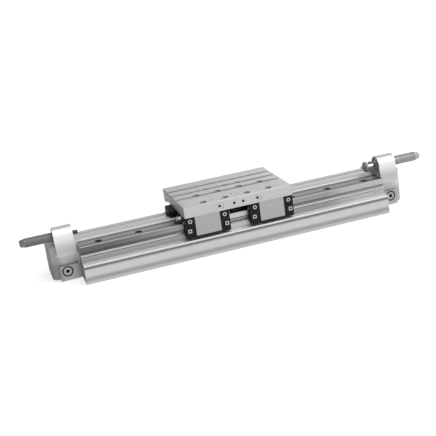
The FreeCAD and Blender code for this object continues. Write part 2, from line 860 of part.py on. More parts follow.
def driver_seat():
    """Height at which the heads of the driver's screws end inside the driver."""
    return driver_bottom + driver_head_height + side_gap


def make_driver_screws():
    """Screws from below through the driver into the plate."""
    length = plate_bottom - driver_seat() + thread_grip - side_gap
    return [socket_screw(driver_screw_r, driver_head_r, driver_head_height, length,
                         Vector(x, behind(depth), driver_seat()), Vector(0, 0, 1))
            for x, depth in driver_screw_places()]


def flange_screw_places():
    """X and depth of the screws from the driver into the yoke's flange."""
    return [(along * flange_screw_column, barrel_line + across * flange_screw_offset)
            for along in (-1, 1) for across in (-1, 1)]


def make_flange_screws():
    """Screws from the driver into the yoke's flange."""
    seat = plate_bottom - flange_head_height - side_gap
    return [socket_screw(flange_screw_r, flange_head_r, flange_head_height, seat - flange_low,
                         Vector(x, behind(depth), seat), Vector(0, 0, -1))
            for x, depth in flange_screw_places()]


def make_yoke():
    """Yoke: flange under the driver, neck through the slot, and a body with a tunnel for the inner band."""
    half_neck = neck_length / 2
    body = rod_x(yoke_r, -yoke_half, yoke_half, barrel_line, bore_height)
    stubs = [rod_x(piston_seat_r, -yoke_half - piston_seat_depth, yoke_half + piston_seat_depth,
                   barrel_line, bore_height)]
    neck = brick(-half_neck, half_neck, *spread(barrel_line, neck_width),
                 bore_height + yoke_r / 2, flange_low)
    flange = brick(-flange_length / 2, flange_length / 2, *spread(barrel_line, flange_width),
                   flange_low, flange_high)
    whole = body.fuse(stubs + [neck, flange])
    tunnel = brick(-yoke_half, yoke_half, *spread(barrel_line, tunnel_width),
                   tunnel_low, tunnel_high)
    cuts = [tunnel]
    for side in (-1, 1):
        x0, x1 = sorted((side * half_neck, side * yoke_half))
        cuts.append(brick(x0, x1, *spread(barrel_line, tunnel_width), tunnel_low, bore_crown))
    for x, depth in flange_screw_places():
        cuts.append(rod_z(flange_screw_r, flange_low, flange_high, x, depth))
    bore_x = yoke_half + piston_seat_depth
    for side in (-1, 1):
        x0, x1 = sorted((side * bore_x, side * (bore_x - piston_bore_depth)))
        cuts.append(rod_x(cushion_r + piston_bore_gap, x0, x1, barrel_line, bore_height))
    return whole.cut(cuts)


def make_piston():
    """Right piston with its grooves, its seat on the yoke and its cushion bore."""
    end = yoke_half + piston_length
    body = rod_x(bore_r - piston_gap, yoke_half, end, barrel_line, bore_height)
    body = body.makeChamfer(0.8, [edge for edge in body.Edges if edge.BoundBox.XMin > end - 0.1])
    cuts = [rod_x(piston_seat_r, yoke_half, yoke_half + piston_seat_depth, barrel_line, bore_height),
            rod_x(cushion_r + piston_bore_gap, yoke_half + piston_seat_depth, end, barrel_line, bore_height)]
    for x, width, depth in ring_places():
        cuts.append(ring(x, width, bore_r, bore_r - piston_gap - depth))
    return body.cut(cuts)


def ring(x, width, outer_r, inner_r):
    """Flat ring in the bore, centred on X."""
    outer = rod_x(outer_r, x - width / 2, x + width / 2, barrel_line, bore_height)
    return outer.cut(rod_x(inner_r, x - width, x + width, barrel_line, bore_height))


def ring_places():
    """X, width and depth of the right piston's seal and wear ring grooves."""
    return [(yoke_half + piston_length - 4.0, seal_width, seal_depth),
            (yoke_half + piston_length / 2 - 1.0, wear_ring_width, wear_ring_depth)]


def make_piston_rings():
    """Seal and wear ring of the right piston, which run on the bore."""
    seal, wear = ring_places()
    outer = bore_r - running_gap
    return (ring(seal[0], seal[1], outer, bore_r - piston_gap - seal[2]),
            ring(wear[0], wear[1], outer, bore_r - piston_gap - wear[2]))


def make_magnet():
    """Ring magnet on the right piston's seat, read by sensors outside the barrel."""
    return ring(yoke_half + magnet_length / 2, magnet_length, magnet_outer_r, magnet_inner_r)


def block_profile(inset, bottom):
    """Outline of a runner block without its rail channel."""
    front = rail_line - block_width / 2 + inset
    rear = rail_line + block_width / 2 - inset
    top = plate_bottom - inset
    return [(front, bottom + block_edge), (front + block_edge, bottom), (rear - block_edge, bottom),
            (rear, bottom + block_edge), (rear, top), (front, top)]


def channel_cut(x0, x1, gap=slide_gap):
    """Space that the guide rail leaves in a runner block."""
    return extrude_section(rail_section(gap), x0, x1)


def make_block():
    """Right runner block's steel body."""
    half = block_body_length / 2
    x0 = block_centre - half
    x1 = block_centre + half
    body = extrude_section(block_profile(0.0, block_bottom), x0, x1)
    cuts = [channel_cut(x0, x1)]
    for x, depth in block_screw_places():
        cuts.append(rod_z(plate_screw_r, plate_bottom - thread_grip, plate_bottom, x, depth))
    return body.cut(cuts)


def cap_span(side):
    """X span of the right block's inner (-1) or outer (1) end cap."""
    face = block_centre + side * block_body_length / 2
    return sorted((face, face + side * block_cap_length))


def cap_front():
    """Depth of the front face of a runner block's end cap."""
    return rail_line - block_width / 2 + block_cap_inset


def cap_plug_point(side):
    """X and height of the round plug on an end cap's front."""
    return block_centre + side * (block_body_length / 2 + cap_plug_place), plate_bottom - cap_plug_drop


def cap_lug_point(side):
    """X and height of the square plug on an end cap's front."""
    return block_centre + side * (block_body_length / 2 + cap_lug_place), plate_bottom - cap_lug_drop


def square_plug(side, start, end, width):
    """Square prism along Y round the lower plug's point."""
    x, z = cap_lug_point(side)
    half = width / 2
    return brick(x - half, x + half, start, end, z - half, z + half)


def make_block_cap(side):
    """Plastic end cap of the right runner block."""
    x0, x1 = cap_span(side)
    body = extrude_section(block_profile(block_cap_inset, seal_bottom), x0, x1)
    body = round_edges(body, block_edge, lambda e: runs_along(e, Vector(0, 0, 1)) and
                       abs(e.BoundBox.XMin - (x1 if side > 0 else x0)) < 0.1)
    front = cap_front()
    x, z = cap_plug_point(side)
    cuts = [channel_cut(x0, x1), rod_y(cap_plug_r, front, front + cap_plug_height, x, z),
            square_plug(side, front, front + cap_plug_height, cap_lug_width)]
    face = x1 if side > 0 else x0
    for across in (-1, 1):
        span = sorted((face, face - side * block_cap_length))
        cuts.append(rod_x(cap_screw_r, span[0], span[1], rail_line + across * cap_screw_offset,
                          cap_screw_height()))
    return body.cut(cuts)


def cap_screw_height():
    """Height of the screws of a runner block's end cap."""
    return plate_bottom - cap_screw_drop


def cover_screw_height():
    """Height of the screws of a driver cover."""
    return (driver_bottom + plate_bottom) / 2


def make_wiper(side):
    """Rubber wiper on the face of a runner block's end cap, close round the rail."""
    x0, x1 = cap_span(side)
    face = x1 if side > 0 else x0
    span = sorted((face, face + side * wiper_thickness))
    body = extrude_section(block_profile(2 * block_cap_inset, seal_bottom), span[0], span[1])
    cuts = [channel_cut(span[0], span[1], side_gap)]
    for across in (-1, 1):
        cuts.append(rod_x(cap_screw_r, span[0], span[1], rail_line + across * cap_screw_offset,
                          cap_screw_height()))
    if side > 0:
        cuts.append(rod_x(nipple_neck_r, span[0], span[1], rail_line, plate_bottom - nipple_drop))
    return body.cut(cuts)


def make_cap_screws(side):
    """Screws that hold one end cap and wiper on the right runner block."""
    x0, x1 = cap_span(side)
    face = (x1 if side > 0 else x0) + side * wiper_thickness
    return [socket_screw(cap_screw_r, cap_screw_head_r, cap_screw_head, block_cap_length + wiper_thickness,
                         Vector(face, behind(rail_line + across * cap_screw_offset), cap_screw_height()),
                         Vector(-side, 0, 0)) for across in (-1, 1)]


def make_cap_plugs(side):
    """Round and square plug on the front of a runner block's end cap."""
    start = cap_front() - side_gap
    end = cap_front() + cap_plug_height
    hollow_end = cap_front() + cap_plug_height / 2
    x, z = cap_plug_point(side)
    disc = rod_y(cap_plug_r, start, end, x, z).cut(rod_y(cap_plug_hole_r, start, hollow_end, x, z))
    x, z = cap_lug_point(side)
    lug = square_plug(side, start, end, cap_lug_width).cut(rod_y(cap_plug_hole_r, start, hollow_end, x, z))
    return [disc, lug]


def make_bottom_seals():
    """Two seal strips under the right runner block's steel body."""
    half = block_body_length / 2
    inner = rail_width / 2 + slide_gap
    outer = block_width / 2
    spans = [(rail_line - outer, rail_line - inner), (rail_line + inner, rail_line + outer)]
    return [brick(block_centre - half, block_centre + half, d0, d1, seal_bottom, block_bottom) for d0,
            d1 in spans]


def make_nipple():
    """Grease nipple on the right block's outer wiper."""
    x0 = cap_span(1)[1] + wiper_thickness
    z = plate_bottom - nipple_drop
    stem = rod_x(nipple_neck_r, x0 - wiper_thickness, x0 + nipple_length / 2, rail_line, z)
    base = hexagon(2 * nipple_r - 1.0, nipple_length / 3, Vector(x0, behind(rail_line), z), Vector(1, 0, 0))
    tip = Part.makeCone(nipple_r * 0.8, nipple_neck_r * 0.7, nipple_length / 3,
                        Vector(x0 + 2 * nipple_length / 3, behind(rail_line), z), Vector(1, 0, 0))
    neck = rod_x(nipple_neck_r, x0, x0 + 2 * nipple_length / 3, rail_line, z)
    return stem.fuse([base, neck, tip])


def make_driver_cover():
    """Black cover on the driver's right end, under the plate's end."""
    start = driver_length / 2
    end = start + cover_length
    top = plate_bottom - side_gap
    front = barrel_line - cover_width / 2
    rear = barrel_line + cover_width / 2
    body = brick(start, end, front, rear, driver_bottom, top)
    body = round_edges(body, cover_edge, lambda e: runs_along(e,
                                                              Vector(0, 0, 1)) and e.BoundBox.XMin > end - 1)
    body = body.makeChamfer(cover_edge / 2, [e for e in body.Edges if runs_along(e, Vector(0, 1, 0))
                                             and e.BoundBox.XMin > end - 1 and e.BoundBox.ZMin > top - 1])
    cuts = [brick(end - band_wiper_length, end, *spread(barrel_line, band_wiper_width),
                  driver_bottom, driver_bottom + band_wiper_rise)]
    for across in (-1, 1):
        depth = barrel_line + across * cover_screw_offset
        cuts.append(rod_x(cover_screw_r, start, end, depth, cover_screw_height()))
        cuts.append(rod_x(cover_screw_head_r + side_gap, end - band_wiper_length - cover_screw_head, end,
                          depth,
                          cover_screw_height()))
    return body.cut(cuts)


def make_cover_screws():
    """Screws that hold the right driver cover."""
    end = driver_length / 2 + cover_length - band_wiper_length - cover_screw_head
    length = end - driver_length / 2 + thread_grip - side_gap
    return [socket_screw(cover_screw_r, cover_screw_head_r, cover_screw_head, length,
                         Vector(end, behind(barrel_line + across * cover_screw_offset), cover_screw_height()),
                         Vector(-1, 0, 0)) for across in (-1, 1)]


def make_band_wiper():
    """Rubber wiper in the right driver cover, just clear of the cover band."""
    end = driver_length / 2 + cover_length
    half = band_wiper_width / 2
    body = brick(end - band_wiper_length, end, barrel_line - half, barrel_line + half,
                 barrel_top + band_wiper_gap, driver_bottom + band_wiper_rise)
    for across in (-1, 1):
        body = body.cut(rod_x(cover_screw_head_r + side_gap, end - band_wiper_length, end,
                              barrel_line + across * cover_screw_offset, cover_screw_height()))
    return body


def save_pair(name, shape):
    """Write a right-hand piece and its mirror image as two nodes."""
    save(name + "_right", shape)
    save(name + "_left", mirrored(shape))


def build_frame():
    """Carrier, rail, barrel, bands and their fasteners."""
    screws, nuts = make_carrier_fixings()
    save("rail_carrier", make_carrier())
    save("guide_rail", make_rail())
    save("rail_screws", *make_rail_screws())
    save("barrel", make_barrel())
    save("carrier_screws", *screws)
    save("carrier_nuts", *nuts)
    save("cover_band", make_cover_band())
    save("sealing_band", make_inner_band())


def build_ends():
    """End caps, brackets and shock absorbers."""
    save_pair("end_cap", make_cap())
    save_pair("shock_bracket", make_bracket())
    save_pair("shock_body", make_shock_body())
    save("plunger_rod_right", make_plunger(half_length - bumper_face + bumper_thickness / 2))
    save("plunger_rod_left", mirrored(make_plunger(half_length + cap_gap - plunger_stub)))
    save("bumper_right", make_bumper())
    save("end_cap_screws", *both_ends(make_tie_screws()))
    save("bracket_screws", *both_ends(make_bracket_screws()))
    save("lock_nuts", *both_ends([make_lock_nut()]))
    save("port_plugs", *both_ends([make_port_plug()]))
    save("spigot_seals", *both_ends([make_spigot_ring()]))
    save("cushion_tubes", *both_ends([make_cushion()]))
    save("cushion_needles", *both_ends([make_needle()]))
    save("band_clamps", *both_ends([make_band_clamp()]))


def build_carriage():
    """Plate, runner blocks, driver, yoke and pistons."""
    seal, wear = make_piston_rings()
    save("mounting_plate", make_plate())
    save("block_screws", *make_block_screws())
    save("screw_caps", *make_screw_caps())
    save("driver", make_driver())
    save("driver_screws", *make_driver_screws())
    save("yoke_screws", *make_flange_screws())
    save("piston_yoke", make_yoke())
    save_pair("piston", make_piston().cut(make_magnet()))
    save("piston_magnets", *both_ends([make_magnet()]))
    save("piston_seals", *both_ends([seal]))
    save("wear_rings", *both_ends([wear]))
    save_pair("driver_cover", make_driver_cover())
    save("cover_screws", *both_ends(make_cover_screws()))
    save("band_wipers", *both_ends([make_band_wiper()]))
    save_pair("runner_block", make_block())
    save_pair("block_cap_outer", make_block_cap(1))
    save_pair("block_cap_inner", make_block_cap(-1))
    save("block_wipers", *both_ends([make_wiper(1), make_wiper(-1)]))
    save("block_cap_screws", *both_ends(make_cap_screws(1) + make_cap_screws(-1)))
    save("block_cap_plugs", *both_ends(make_cap_plugs(1) + make_cap_plugs(-1)))
    save("bottom_seals", *both_ends(make_bottom_seals()))
    save("grease_nipples", *both_ends([make_nipple()]))


os.makedirs("parts", exist_ok=True)
build_frame()
build_ends()
build_carriage()
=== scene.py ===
"""Looks of a rodless pneumatic cylinder with a guide rail, a carriage plate and two shock absorbers.

Lengths in the classes are millimetres, and every mesh is metres in the part's own frame: X along the stroke,
Y to the rear and Z up. A depth is measured to the rear from the front face of the rail carrier.
"""

from __future__ import annotations

import json
import logging
import math
from dataclasses import dataclass
from enum import Enum, IntEnum
from typing import Any, Mapping, Sequence, Union

import bmesh
import bpy
from mathutils import Matrix, Vector

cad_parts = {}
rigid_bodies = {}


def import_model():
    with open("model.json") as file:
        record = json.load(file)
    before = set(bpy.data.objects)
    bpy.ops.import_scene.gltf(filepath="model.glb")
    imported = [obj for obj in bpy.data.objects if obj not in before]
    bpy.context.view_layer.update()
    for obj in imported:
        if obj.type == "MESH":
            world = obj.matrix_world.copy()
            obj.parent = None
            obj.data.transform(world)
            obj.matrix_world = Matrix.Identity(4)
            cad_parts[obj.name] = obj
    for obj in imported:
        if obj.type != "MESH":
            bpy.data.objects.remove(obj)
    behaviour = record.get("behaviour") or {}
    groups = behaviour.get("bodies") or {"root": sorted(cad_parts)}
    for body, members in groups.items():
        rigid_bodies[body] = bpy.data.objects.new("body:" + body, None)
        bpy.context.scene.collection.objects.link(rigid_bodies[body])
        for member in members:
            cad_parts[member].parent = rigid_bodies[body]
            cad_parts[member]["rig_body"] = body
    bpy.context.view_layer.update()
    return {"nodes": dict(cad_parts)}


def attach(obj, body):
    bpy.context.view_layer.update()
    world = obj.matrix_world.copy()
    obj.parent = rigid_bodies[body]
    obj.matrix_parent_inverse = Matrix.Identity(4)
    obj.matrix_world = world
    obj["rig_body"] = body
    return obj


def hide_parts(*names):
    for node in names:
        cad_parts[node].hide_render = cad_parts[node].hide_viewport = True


LOG = logging.getLogger("rodless_cylinder")
MM = 0.001
CENTRE_DEPTH = 61.5
NOISE_MIDDLE = 0.5
WHITE = (1.0, 1.0, 1.0)

Triple = tuple[float, float, float]
Outline = tuple[tuple[float, float], ...]
Input = Union["Reading", bpy.types.NodeSocket, bpy.types.ID, Vector, tuple, float, int, bool]


class Side(Enum):
    """The two ends of the cylinder."""

    LEFT = -1
    RIGHT = 1

    @property
    def word(self) -> str:
        """The end's name inside a node's name."""
        return self.name.lower()


class Axis(IntEnum):
    """The directions of the part's frame, by their place in a vector."""

    X = 0
    Y = 1
    Z = 2


X, Y, Z = Axis
Ramp = tuple[Axis, float, float]


class Grain(Enum):
    """How a surface was worked, as the noise scale along X, Y and Z per metre."""

    DRAWN = (5.0, 1500.0, 1500.0)
    GROUND = (40.0, 3200.0, 3200.0)
    MILLED = (900.0, 30.0, 900.0)
    BLASTED = (2600.0, 2600.0, 2600.0)
    MOULDED = (1500.0, 1500.0, 1500.0)
    TURNED = (3000.0, 60.0, 60.0)


@dataclass(frozen=True)
class Layer:
    """One noise: its features per metre along X, Y and Z, its number of finer layers, and its shift."""

    scale: Triple
    detail: float = 3.0
    shift: float = 0.0


def both(*kinds: str) -> tuple[str, ...]:
    """Names of the left and the right node of each kind."""
    return tuple(f"{kind}_{side.word}" for kind in kinds for side in Side)


def behind(depth: float) -> float:
    """Y in metres of a point at this depth behind the carrier's front face."""
    return (depth - CENTRE_DEPTH) * MM


def tinted(colour: Triple, factor: float = 1.0) -> tuple[float, float, float, float]:
    """The colour made darker or lighter, with full alpha."""
    return (*(min(1.0, part * factor) for part in colour), 1.0)


class Graph:
    """Builds the nodes of one shader or geometry tree.

    A Mix node's sockets for colours share their names with those for numbers, so they are found by place.
    """

    SHARE, FIRST, SECOND = 0, 6, 7
    MIXED = 2

    def __init__(self, tree: bpy.types.NodeTree) -> None:
        """Keeps the shader, world or geometry node tree that gets the nodes."""
        self.tree = tree

    def node(self, kind: str, settings: Mapping[str, Any] | None = None,
             values: Mapping[Union[str, int], Input] | None = None) -> bpy.types.Node:
        """Adds one node.

        Args:
            kind: The node's type.
            settings: Attributes that are set first.
            values: Numbers or links for the sockets, by name or by number.

        Returns:
            The new node.
        """
        made = self.tree.nodes.new(kind)
        for name, value in (settings or {}).items():
            setattr(made, name, value)
        for key, value in (values or {}).items():
            socket = made.inputs[key]
            if isinstance(value, Reading):
                self.tree.links.new(value.socket, socket)
            elif isinstance(value, bpy.types.NodeSocket):
                self.tree.links.new(value, socket)
            else:
                socket.default_value = value
        return made

    def reading(self, kind: str, settings: Mapping[str, Any] | None = None,
                values: Mapping[Union[str, int], Input] | None = None) -> Reading:
        """Adds one node, as node does, and wraps its first output for expressions."""
        return Reading(self, self.node(kind, settings, values).outputs[0])

    def parts(self, vector: bpy.types.NodeSocket) -> tuple[Reading, ...]:
        """Splits a vector into its parts along X, Y and Z."""
        split = self.node("ShaderNodeSeparateXYZ", None, {"Vector": vector})
        return tuple(Reading(self, split.outputs[axis]) for axis in Axis)

    def mixed(self, share: Reading, first: Input, second: Input) -> bpy.types.NodeSocket:
        """Mixes two colours.

        Args:
            share: 0 gives the first colour and 1 the second.
            first: A colour with alpha, or a link.
            second: A colour with alpha, or a link.

        Returns:
            The mixed colour's socket.
        """
        node = self.node("ShaderNodeMix", {"data_type": "RGBA"},
                         {self.SHARE: share, self.FIRST: first, self.SECOND: second})
        return node.outputs[self.MIXED]

    def scaled(self, share: Reading, colour: Input, factor: float) -> bpy.types.NodeSocket:
        """Multiplies a colour by a factor over part of a surface.

        Args:
            share: 0 keeps the colour and 1 multiplies it fully.
            colour: A colour with alpha, or a link.
            factor: Below 1 darkens and above 1 lightens.

        Returns:
            The new colour's socket.
        """
        node = self.node("ShaderNodeMix", {"data_type": "RGBA", "blend_type": "MULTIPLY"},
                         {self.SHARE: share, self.FIRST: colour, self.SECOND: (factor, factor, factor, 1.0)})
        return node.outputs[self.MIXED]


class Reading:
    """A number that changes over a surface, for use in Python expressions."""

    def __init__(self, graph: Graph, socket: bpy.types.NodeSocket) -> None:
        """Keeps the output that gives the number, and its tree's builder."""
        self.graph = graph
        self.socket = socket

    def _maths(self, operation: str, first: Input, second: Input = 0.0) -> Reading:
        """Adds one Math node."""
        return self.graph.reading("ShaderNodeMath", {"operation": operation}, {0: first, 1: second})

    def __add__(self, other: Input) -> Reading:
        """Sum."""
        return self._maths("ADD", self, other)

    def __radd__(self, other: Input) -> Reading:
        """Sum with a number on the left."""
        return self._maths("ADD", other, self)

    def __sub__(self, other: Input) -> Reading:
        """Difference."""
        return self._maths("SUBTRACT", self, other)

    def __rsub__(self, other: Input) -> Reading:
        """Difference from a number on the left."""
        return self._maths("SUBTRACT", other, self)

    def __mul__(self, other: Input) -> Reading:
        """Product."""
        return self._maths("MULTIPLY", self, other)

    def __rmul__(self, other: Input) -> Reading:
        """Product with a number on the left."""
        return self._maths("MULTIPLY", other, self)

    def __abs__(self) -> Reading:
        """Size without its sign."""
        return self._maths("ABSOLUTE", self)

    def rise(self, low: float, high: float) -> Reading:
        """Goes smoothly from 0 at low to 1 at high.

        Args:
            low: Where the result is 0.
            high: Where the result is 1; it may be the smaller number.

        Returns:
            A number from 0 to 1.
        """
        return self.graph.reading("ShaderNodeMapRange", {"interpolation_type": "SMOOTHSTEP", "clamp": True},
                                  {"Value": self, "From Min": low, "From Max": high, "To Min": 0.0,
                                   "To Max": 1.0})

    def swing(self, reach: float) -> Reading:
        """Noise as a change about 0, with this reach from its lowest to its highest value."""
        return (self - NOISE_MIDDLE) * reach

    def between(self, low: float, high: float, soft: float) -> Reading:
        """1 from low to high and 0 outside, where soft is half the width over which each edge fades."""
        return self.rise(low - soft, low + soft) * self.rise(high + soft, high - soft)


class Surface:
    """A material under construction, with the coordinates that its patterns read."""

    NOISE_ROUGHNESS = 0.55
    SQUARELY = (0.75, 0.95)
    BUMP_HEIGHT = 0.1

    def __init__(self, name: str) -> None:
        """Starts an empty material.

        Args:
            name: The material's name.
        """
        self.material = bpy.data.materials.new(name)
        self.material.use_nodes = True
        tree = self.material.node_tree
        tree.nodes.clear()
        self.graph = Graph(tree)
        sources = self.graph.node("ShaderNodeTexCoord")
        self.place = sources.outputs["Object"]
        self.normal = sources.outputs["Normal"]
        self.along = self.graph.parts(self.place)

    def noise(self, layer: Layer) -> Reading:
        """Noise with its own scale along each axis.

        Args:
            layer: The noise's scale, detail and shift.

        Returns:
            A number about 0.5.
        """
        mapped = self.graph.node("ShaderNodeMapping", None,
                                 {"Vector": self.place, "Scale": layer.scale, "Location": (layer.shift,) * 3})
        return self.graph.reading("ShaderNodeTexNoise", None,
                                  {"Vector": mapped.outputs[0], "Scale": 1.0, "Detail": layer.detail,
                                   "Roughness": self.NOISE_ROUGHNESS})

    def facing(self, axis: Axis) -> Reading:
        """1 on faces that point along the axis, either way, and 0 on faces that stand across it."""
        return abs(self.graph.parts(self.normal)[axis]).rise(*self.SQUARELY)

    def cells(self, scale: float) -> Reading:
        """Distance to the nearest point of a random grid of this many points per metre, for pores."""
        mapped = self.graph.node("ShaderNodeMapping", None, {"Vector": self.place, "Scale": (scale,) * 3})
        return self.graph.reading("ShaderNodeTexVoronoi", None, {"Vector": mapped.outputs[0], "Scale": 1.0})

    def close(self, colour: Input, roughness: Input, metallic: float = 0.0, height: Reading | None = None,
              bump: float = 0.1, specular: float = 0.5, glow: float = 0.0) -> bpy.types.Material:
        """Ends the material with its shader.

        Args:
            colour: Base colour or a link.
            roughness: Roughness or a link.
            metallic: 1 for bare metal and 0 for plastic.
            height: Height for the bump, if there is one.
            bump: Strength of the bump.
            specular: Strength of the gloss of a surface that isn't metal.
            glow: Strength of the surface's own white light.

        Returns:
            The finished material.
        """
        values: dict[Union[str, int], Input] = {
            "Base Color": colour, "Roughness": roughness, "Metallic": metallic,
            "Specular IOR Level": specular, "Emission Color": tinted(WHITE), "Emission Strength": glow}
        if height is not None:
            relief = self.graph.node("ShaderNodeBump", None,
                                     {"Strength": bump, "Distance": self.BUMP_HEIGHT * MM, "Height": height})
            values["Normal"] = relief.outputs[0]
        shader = self.graph.node("ShaderNodeBsdfPrincipled", None, values)
        self.graph.node("ShaderNodeOutputMaterial", None, {"Surface": shader.outputs[0]})
        return self.material


@dataclass(frozen=True)
class Shade:
    """Painted shade or light over part of a surface, such as a groove's painted shadow or a painted
    highlight.

    Each ramp is (axis, place where it starts, place where it is full). The places are millimetres along X or
    Z, or behind the carrier's front face along Y. A facing axis limits the shade to faces that point along
    it.
    """

    factor: float
    ramps: tuple[Ramp, ...] = ()
    facing: Axis | None = None

    def lay(self, made: Surface, colour: bpy.types.NodeSocket) -> bpy.types.NodeSocket:
        """Adds the shade to a colour.

        Args:
            made: The material under construction.
            colour: The colour so far.

        Returns:
            The shaded colour's socket.
        """
        masks = [] if self.facing is None else [made.facing(self.facing)]
        for axis, start, full in self.ramps:
            low, high = (behind(start), behind(full)) if axis == Y else (start * MM, full * MM)
            masks.append(made.along[axis].rise(low, high))
        share = masks[0]
        for mask in masks[1:]:
            share = share * mask
        return made.graph.scaled(share, colour, self.factor)


@dataclass(frozen=True)
class MetalFinish:
    """Metal with a grain, a slow change of tone and faint handling marks.

    The cut values paint shade, with saw marks, on the sawn ends: the faces along X. An end shade of 1 leaves
    them out.
    """

    GRAIN_DETAIL = 4.0
    MARKS = Layer((9.0, 14.0, 14.0), 5.0, 3.7)
    GRAIN_SHARE, MARK_SHARE = 0.7, 0.6
    TONE_RISE = (0.35, 0.95)
    SAW_SHIFT = 5.5
    SAW_RISE = (0.38, 0.62)
    CUT_ROUGHNESS = 0.12

    name: str
    colour: Triple
    roughness: float
    grain: Grain
    bump: float
    metallic: float = 1.0
    contrast: float = 0.10
    mark_roughness: float = 0.22
    grain_roughness: float = 0.12
    shades: tuple[Shade, ...] = ()
    cut_tone: float = 1.0
    cut_contrast: float = 0.08
    cut_grain: Triple = (20.0, 60.0, 1400.0)

    def surface(self) -> tuple[Surface, Reading, Reading]:
        """Starts the material, and gives it with its grain and its slow marks, which are both about 0.5."""
        made = Surface(self.name)
        return made, made.noise(Layer(self.grain.value, self.GRAIN_DETAIL)), made.noise(self.MARKS)

    def varied(self, made: Surface, share: Reading, contrast: float,
               tone: float = 1.0) -> bpy.types.NodeSocket:
        """Mixes a darker and a lighter tone of the colour, each this contrast away from the middle tone."""
        return made.graph.mixed(share, tinted(self.colour, tone * (1 - contrast)),
                                tinted(self.colour, tone * (1 + contrast)))

    def worked(self, made: Surface, grain: Reading, marks: Reading) -> bpy.types.NodeSocket:
        """Colour of the worked faces, which follows the grain and the marks."""
        tone = (grain * self.GRAIN_SHARE + marks * self.MARK_SHARE).rise(*self.TONE_RISE)
        return self.varied(made, tone, self.contrast)

    def shaded(self, made: Surface, colour: bpy.types.NodeSocket) -> bpy.types.NodeSocket:
        """Lays every painted shade and highlight over a colour.

        Args:
            made: The material under construction.
            colour: The colour so far.

        Returns:
            The shaded colour's socket.
        """
        for shade in self.shades:
            colour = shade.lay(made, colour)
        return colour

    def build(self) -> bpy.types.Material:
        """Makes the material.

        Returns:
            The material.
        """
        made, grain, marks = self.surface()
        colour = self.worked(made, grain, marks)
        roughness = self.roughness + marks.swing(self.mark_roughness) + grain.swing(self.grain_roughness)
        if self.cut_tone != 1.0:
            # Painted shade darkens the end faces, under faint saw marks.
            ends = made.facing(X)
            sawn = made.noise(Layer(self.cut_grain, shift=self.SAW_SHIFT)).rise(*self.SAW_RISE)
            colour = made.graph.mixed(ends, colour, self.varied(made, sawn, self.cut_contrast, self.cut_tone))
            roughness = roughness + ends * self.CUT_ROUGHNESS
        return made.close(self.shaded(made, colour), roughness, self.metallic, grain, self.bump)


@dataclass(frozen=True)
class RailFinish(MetalFinish):
    """Ground rail steel with polished raceways, painted darker as shade, along its flanks and a patchy film
    of oil.
    """

    OIL = Layer((18.0, 60.0, 90.0), 4.0, 8.1)
    OIL_RISE = (0.45, 0.7)

    mark_roughness: float = 0.15
    raceway_low: float = 38.3
    raceway_high: float = 45.6
    raceway_edge: float = 0.3
    raceway_tone: float = 0.9
    polish: float = 0.06

    def build(self) -> bpy.types.Material:
        """Makes the material.

        Returns:
            The material.
        """
        made, grain, marks = self.surface()
        track = made.along[Z].between(self.raceway_low * MM, self.raceway_high * MM, self.raceway_edge * MM)
        oil = made.noise(self.OIL).rise(*self.OIL_RISE)
        # Painted shade darkens the raceways.
        colour = made.graph.scaled(track, self.worked(made, grain, marks), self.raceway_tone)
        roughness = self.roughness + marks.swing(self.mark_roughness) - track * self.polish
        roughness = roughness - oil * self.polish
        return made.close(self.shaded(made, colour), roughness, self.metallic, grain, self.bump)


@dataclass(frozen=True)
class PlugFinish(MetalFinish):
    """Bright plugs whose socket, which lies behind a given depth, is painted dark as shade."""

    mark_roughness: float = 0.2
    socket_depth: float = 0.65
    socket_edge: float = 0.1
    socket_tone: float = 0.05
    socket_roughness: float = 0.3

    def build(self) -> bpy.types.Material:
        """Makes the material.

        Returns:
            The material.
        """
        made, grain, marks = self.surface()
        inside = made.along[Y].rise(behind(self.socket_depth - self.socket_edge),
                                    behind(self.socket_depth + self.socket_edge))
        # Painted shade darkens the socket.
        colour = made.graph.mixed(inside, tinted(self.colour), tinted(self.colour, self.socket_tone))
        roughness = self.roughness + marks.swing(self.mark_roughness) + inside * self.socket_roughness
        return made.close(colour, roughness, self.metallic, grain, self.bump)


@dataclass(frozen=True)
class PlasticFinish:
    """Moulded plastic with a fine texture and a trace of dust."""

    TEXTURE = Layer(Grain.MOULDED.value)
    MARKS = Layer((60.0, 60.0, 60.0), 5.0, 2.2)
    DUST_RISE = (0.52, 0.78)
    DUST_COLOUR = (0.42, 0.41, 0.39)
    MARK_ROUGHNESS, TEXTURE_ROUGHNESS = 0.2, 0.15

    name: str
    colour: Triple
    roughness: float
    dust: float
    bump: float
    specular: float = 0.5

    def build(self) -> bpy.types.Material:
        """Makes the material.

        Returns:
            The material.
        """
        made = Surface(self.name)
        texture = made.noise(self.TEXTURE)
        marks = made.noise(self.MARKS)
        dust = marks.rise(*self.DUST_RISE) * self.dust
        colour = made.graph.mixed(dust, tinted(self.colour), tinted(self.DUST_COLOUR))
        roughness = self.roughness + marks.swing(self.MARK_ROUGHNESS) + texture.swing(self.TEXTURE_ROUGHNESS)
        return made.close(colour, roughness, height=texture, bump=self.bump, specular=self.specular)


@dataclass(frozen=True)
class RubberFinish:
    """Matt rubber with pores and rubbed, paler ridges."""

    RUBBED = Layer((120.0, 120.0, 120.0), 4.0, 1.3)
    RUBBED_RISE = (0.5, 0.75)

    name: str
    colour: Triple
    roughness: float = 0.72
    pores: float = 2200.0
    bump: float = 0.2
    specular: float = 0.25
    rubbed_share: float = 0.35
    rubbed_tone: float = 3.0
    rubbed_polish: float = 0.12

    def build(self) -> bpy.types.Material:
        """Makes the material.

        Returns:
            The material.
        """
        made = Surface(self.name)
        pores = made.cells(self.pores)
        rubbed = made.noise(self.RUBBED).rise(*self.RUBBED_RISE)
        colour = made.graph.mixed(rubbed * self.rubbed_share, tinted(self.colour),
                                  tinted(self.colour, self.rubbed_tone))
        roughness = self.roughness - rubbed * self.rubbed_polish
        return made.close(colour, roughness, height=pores, bump=self.bump, specular=self.specular)


Finish = Union[MetalFinish, PlasticFinish, RubberFinish]


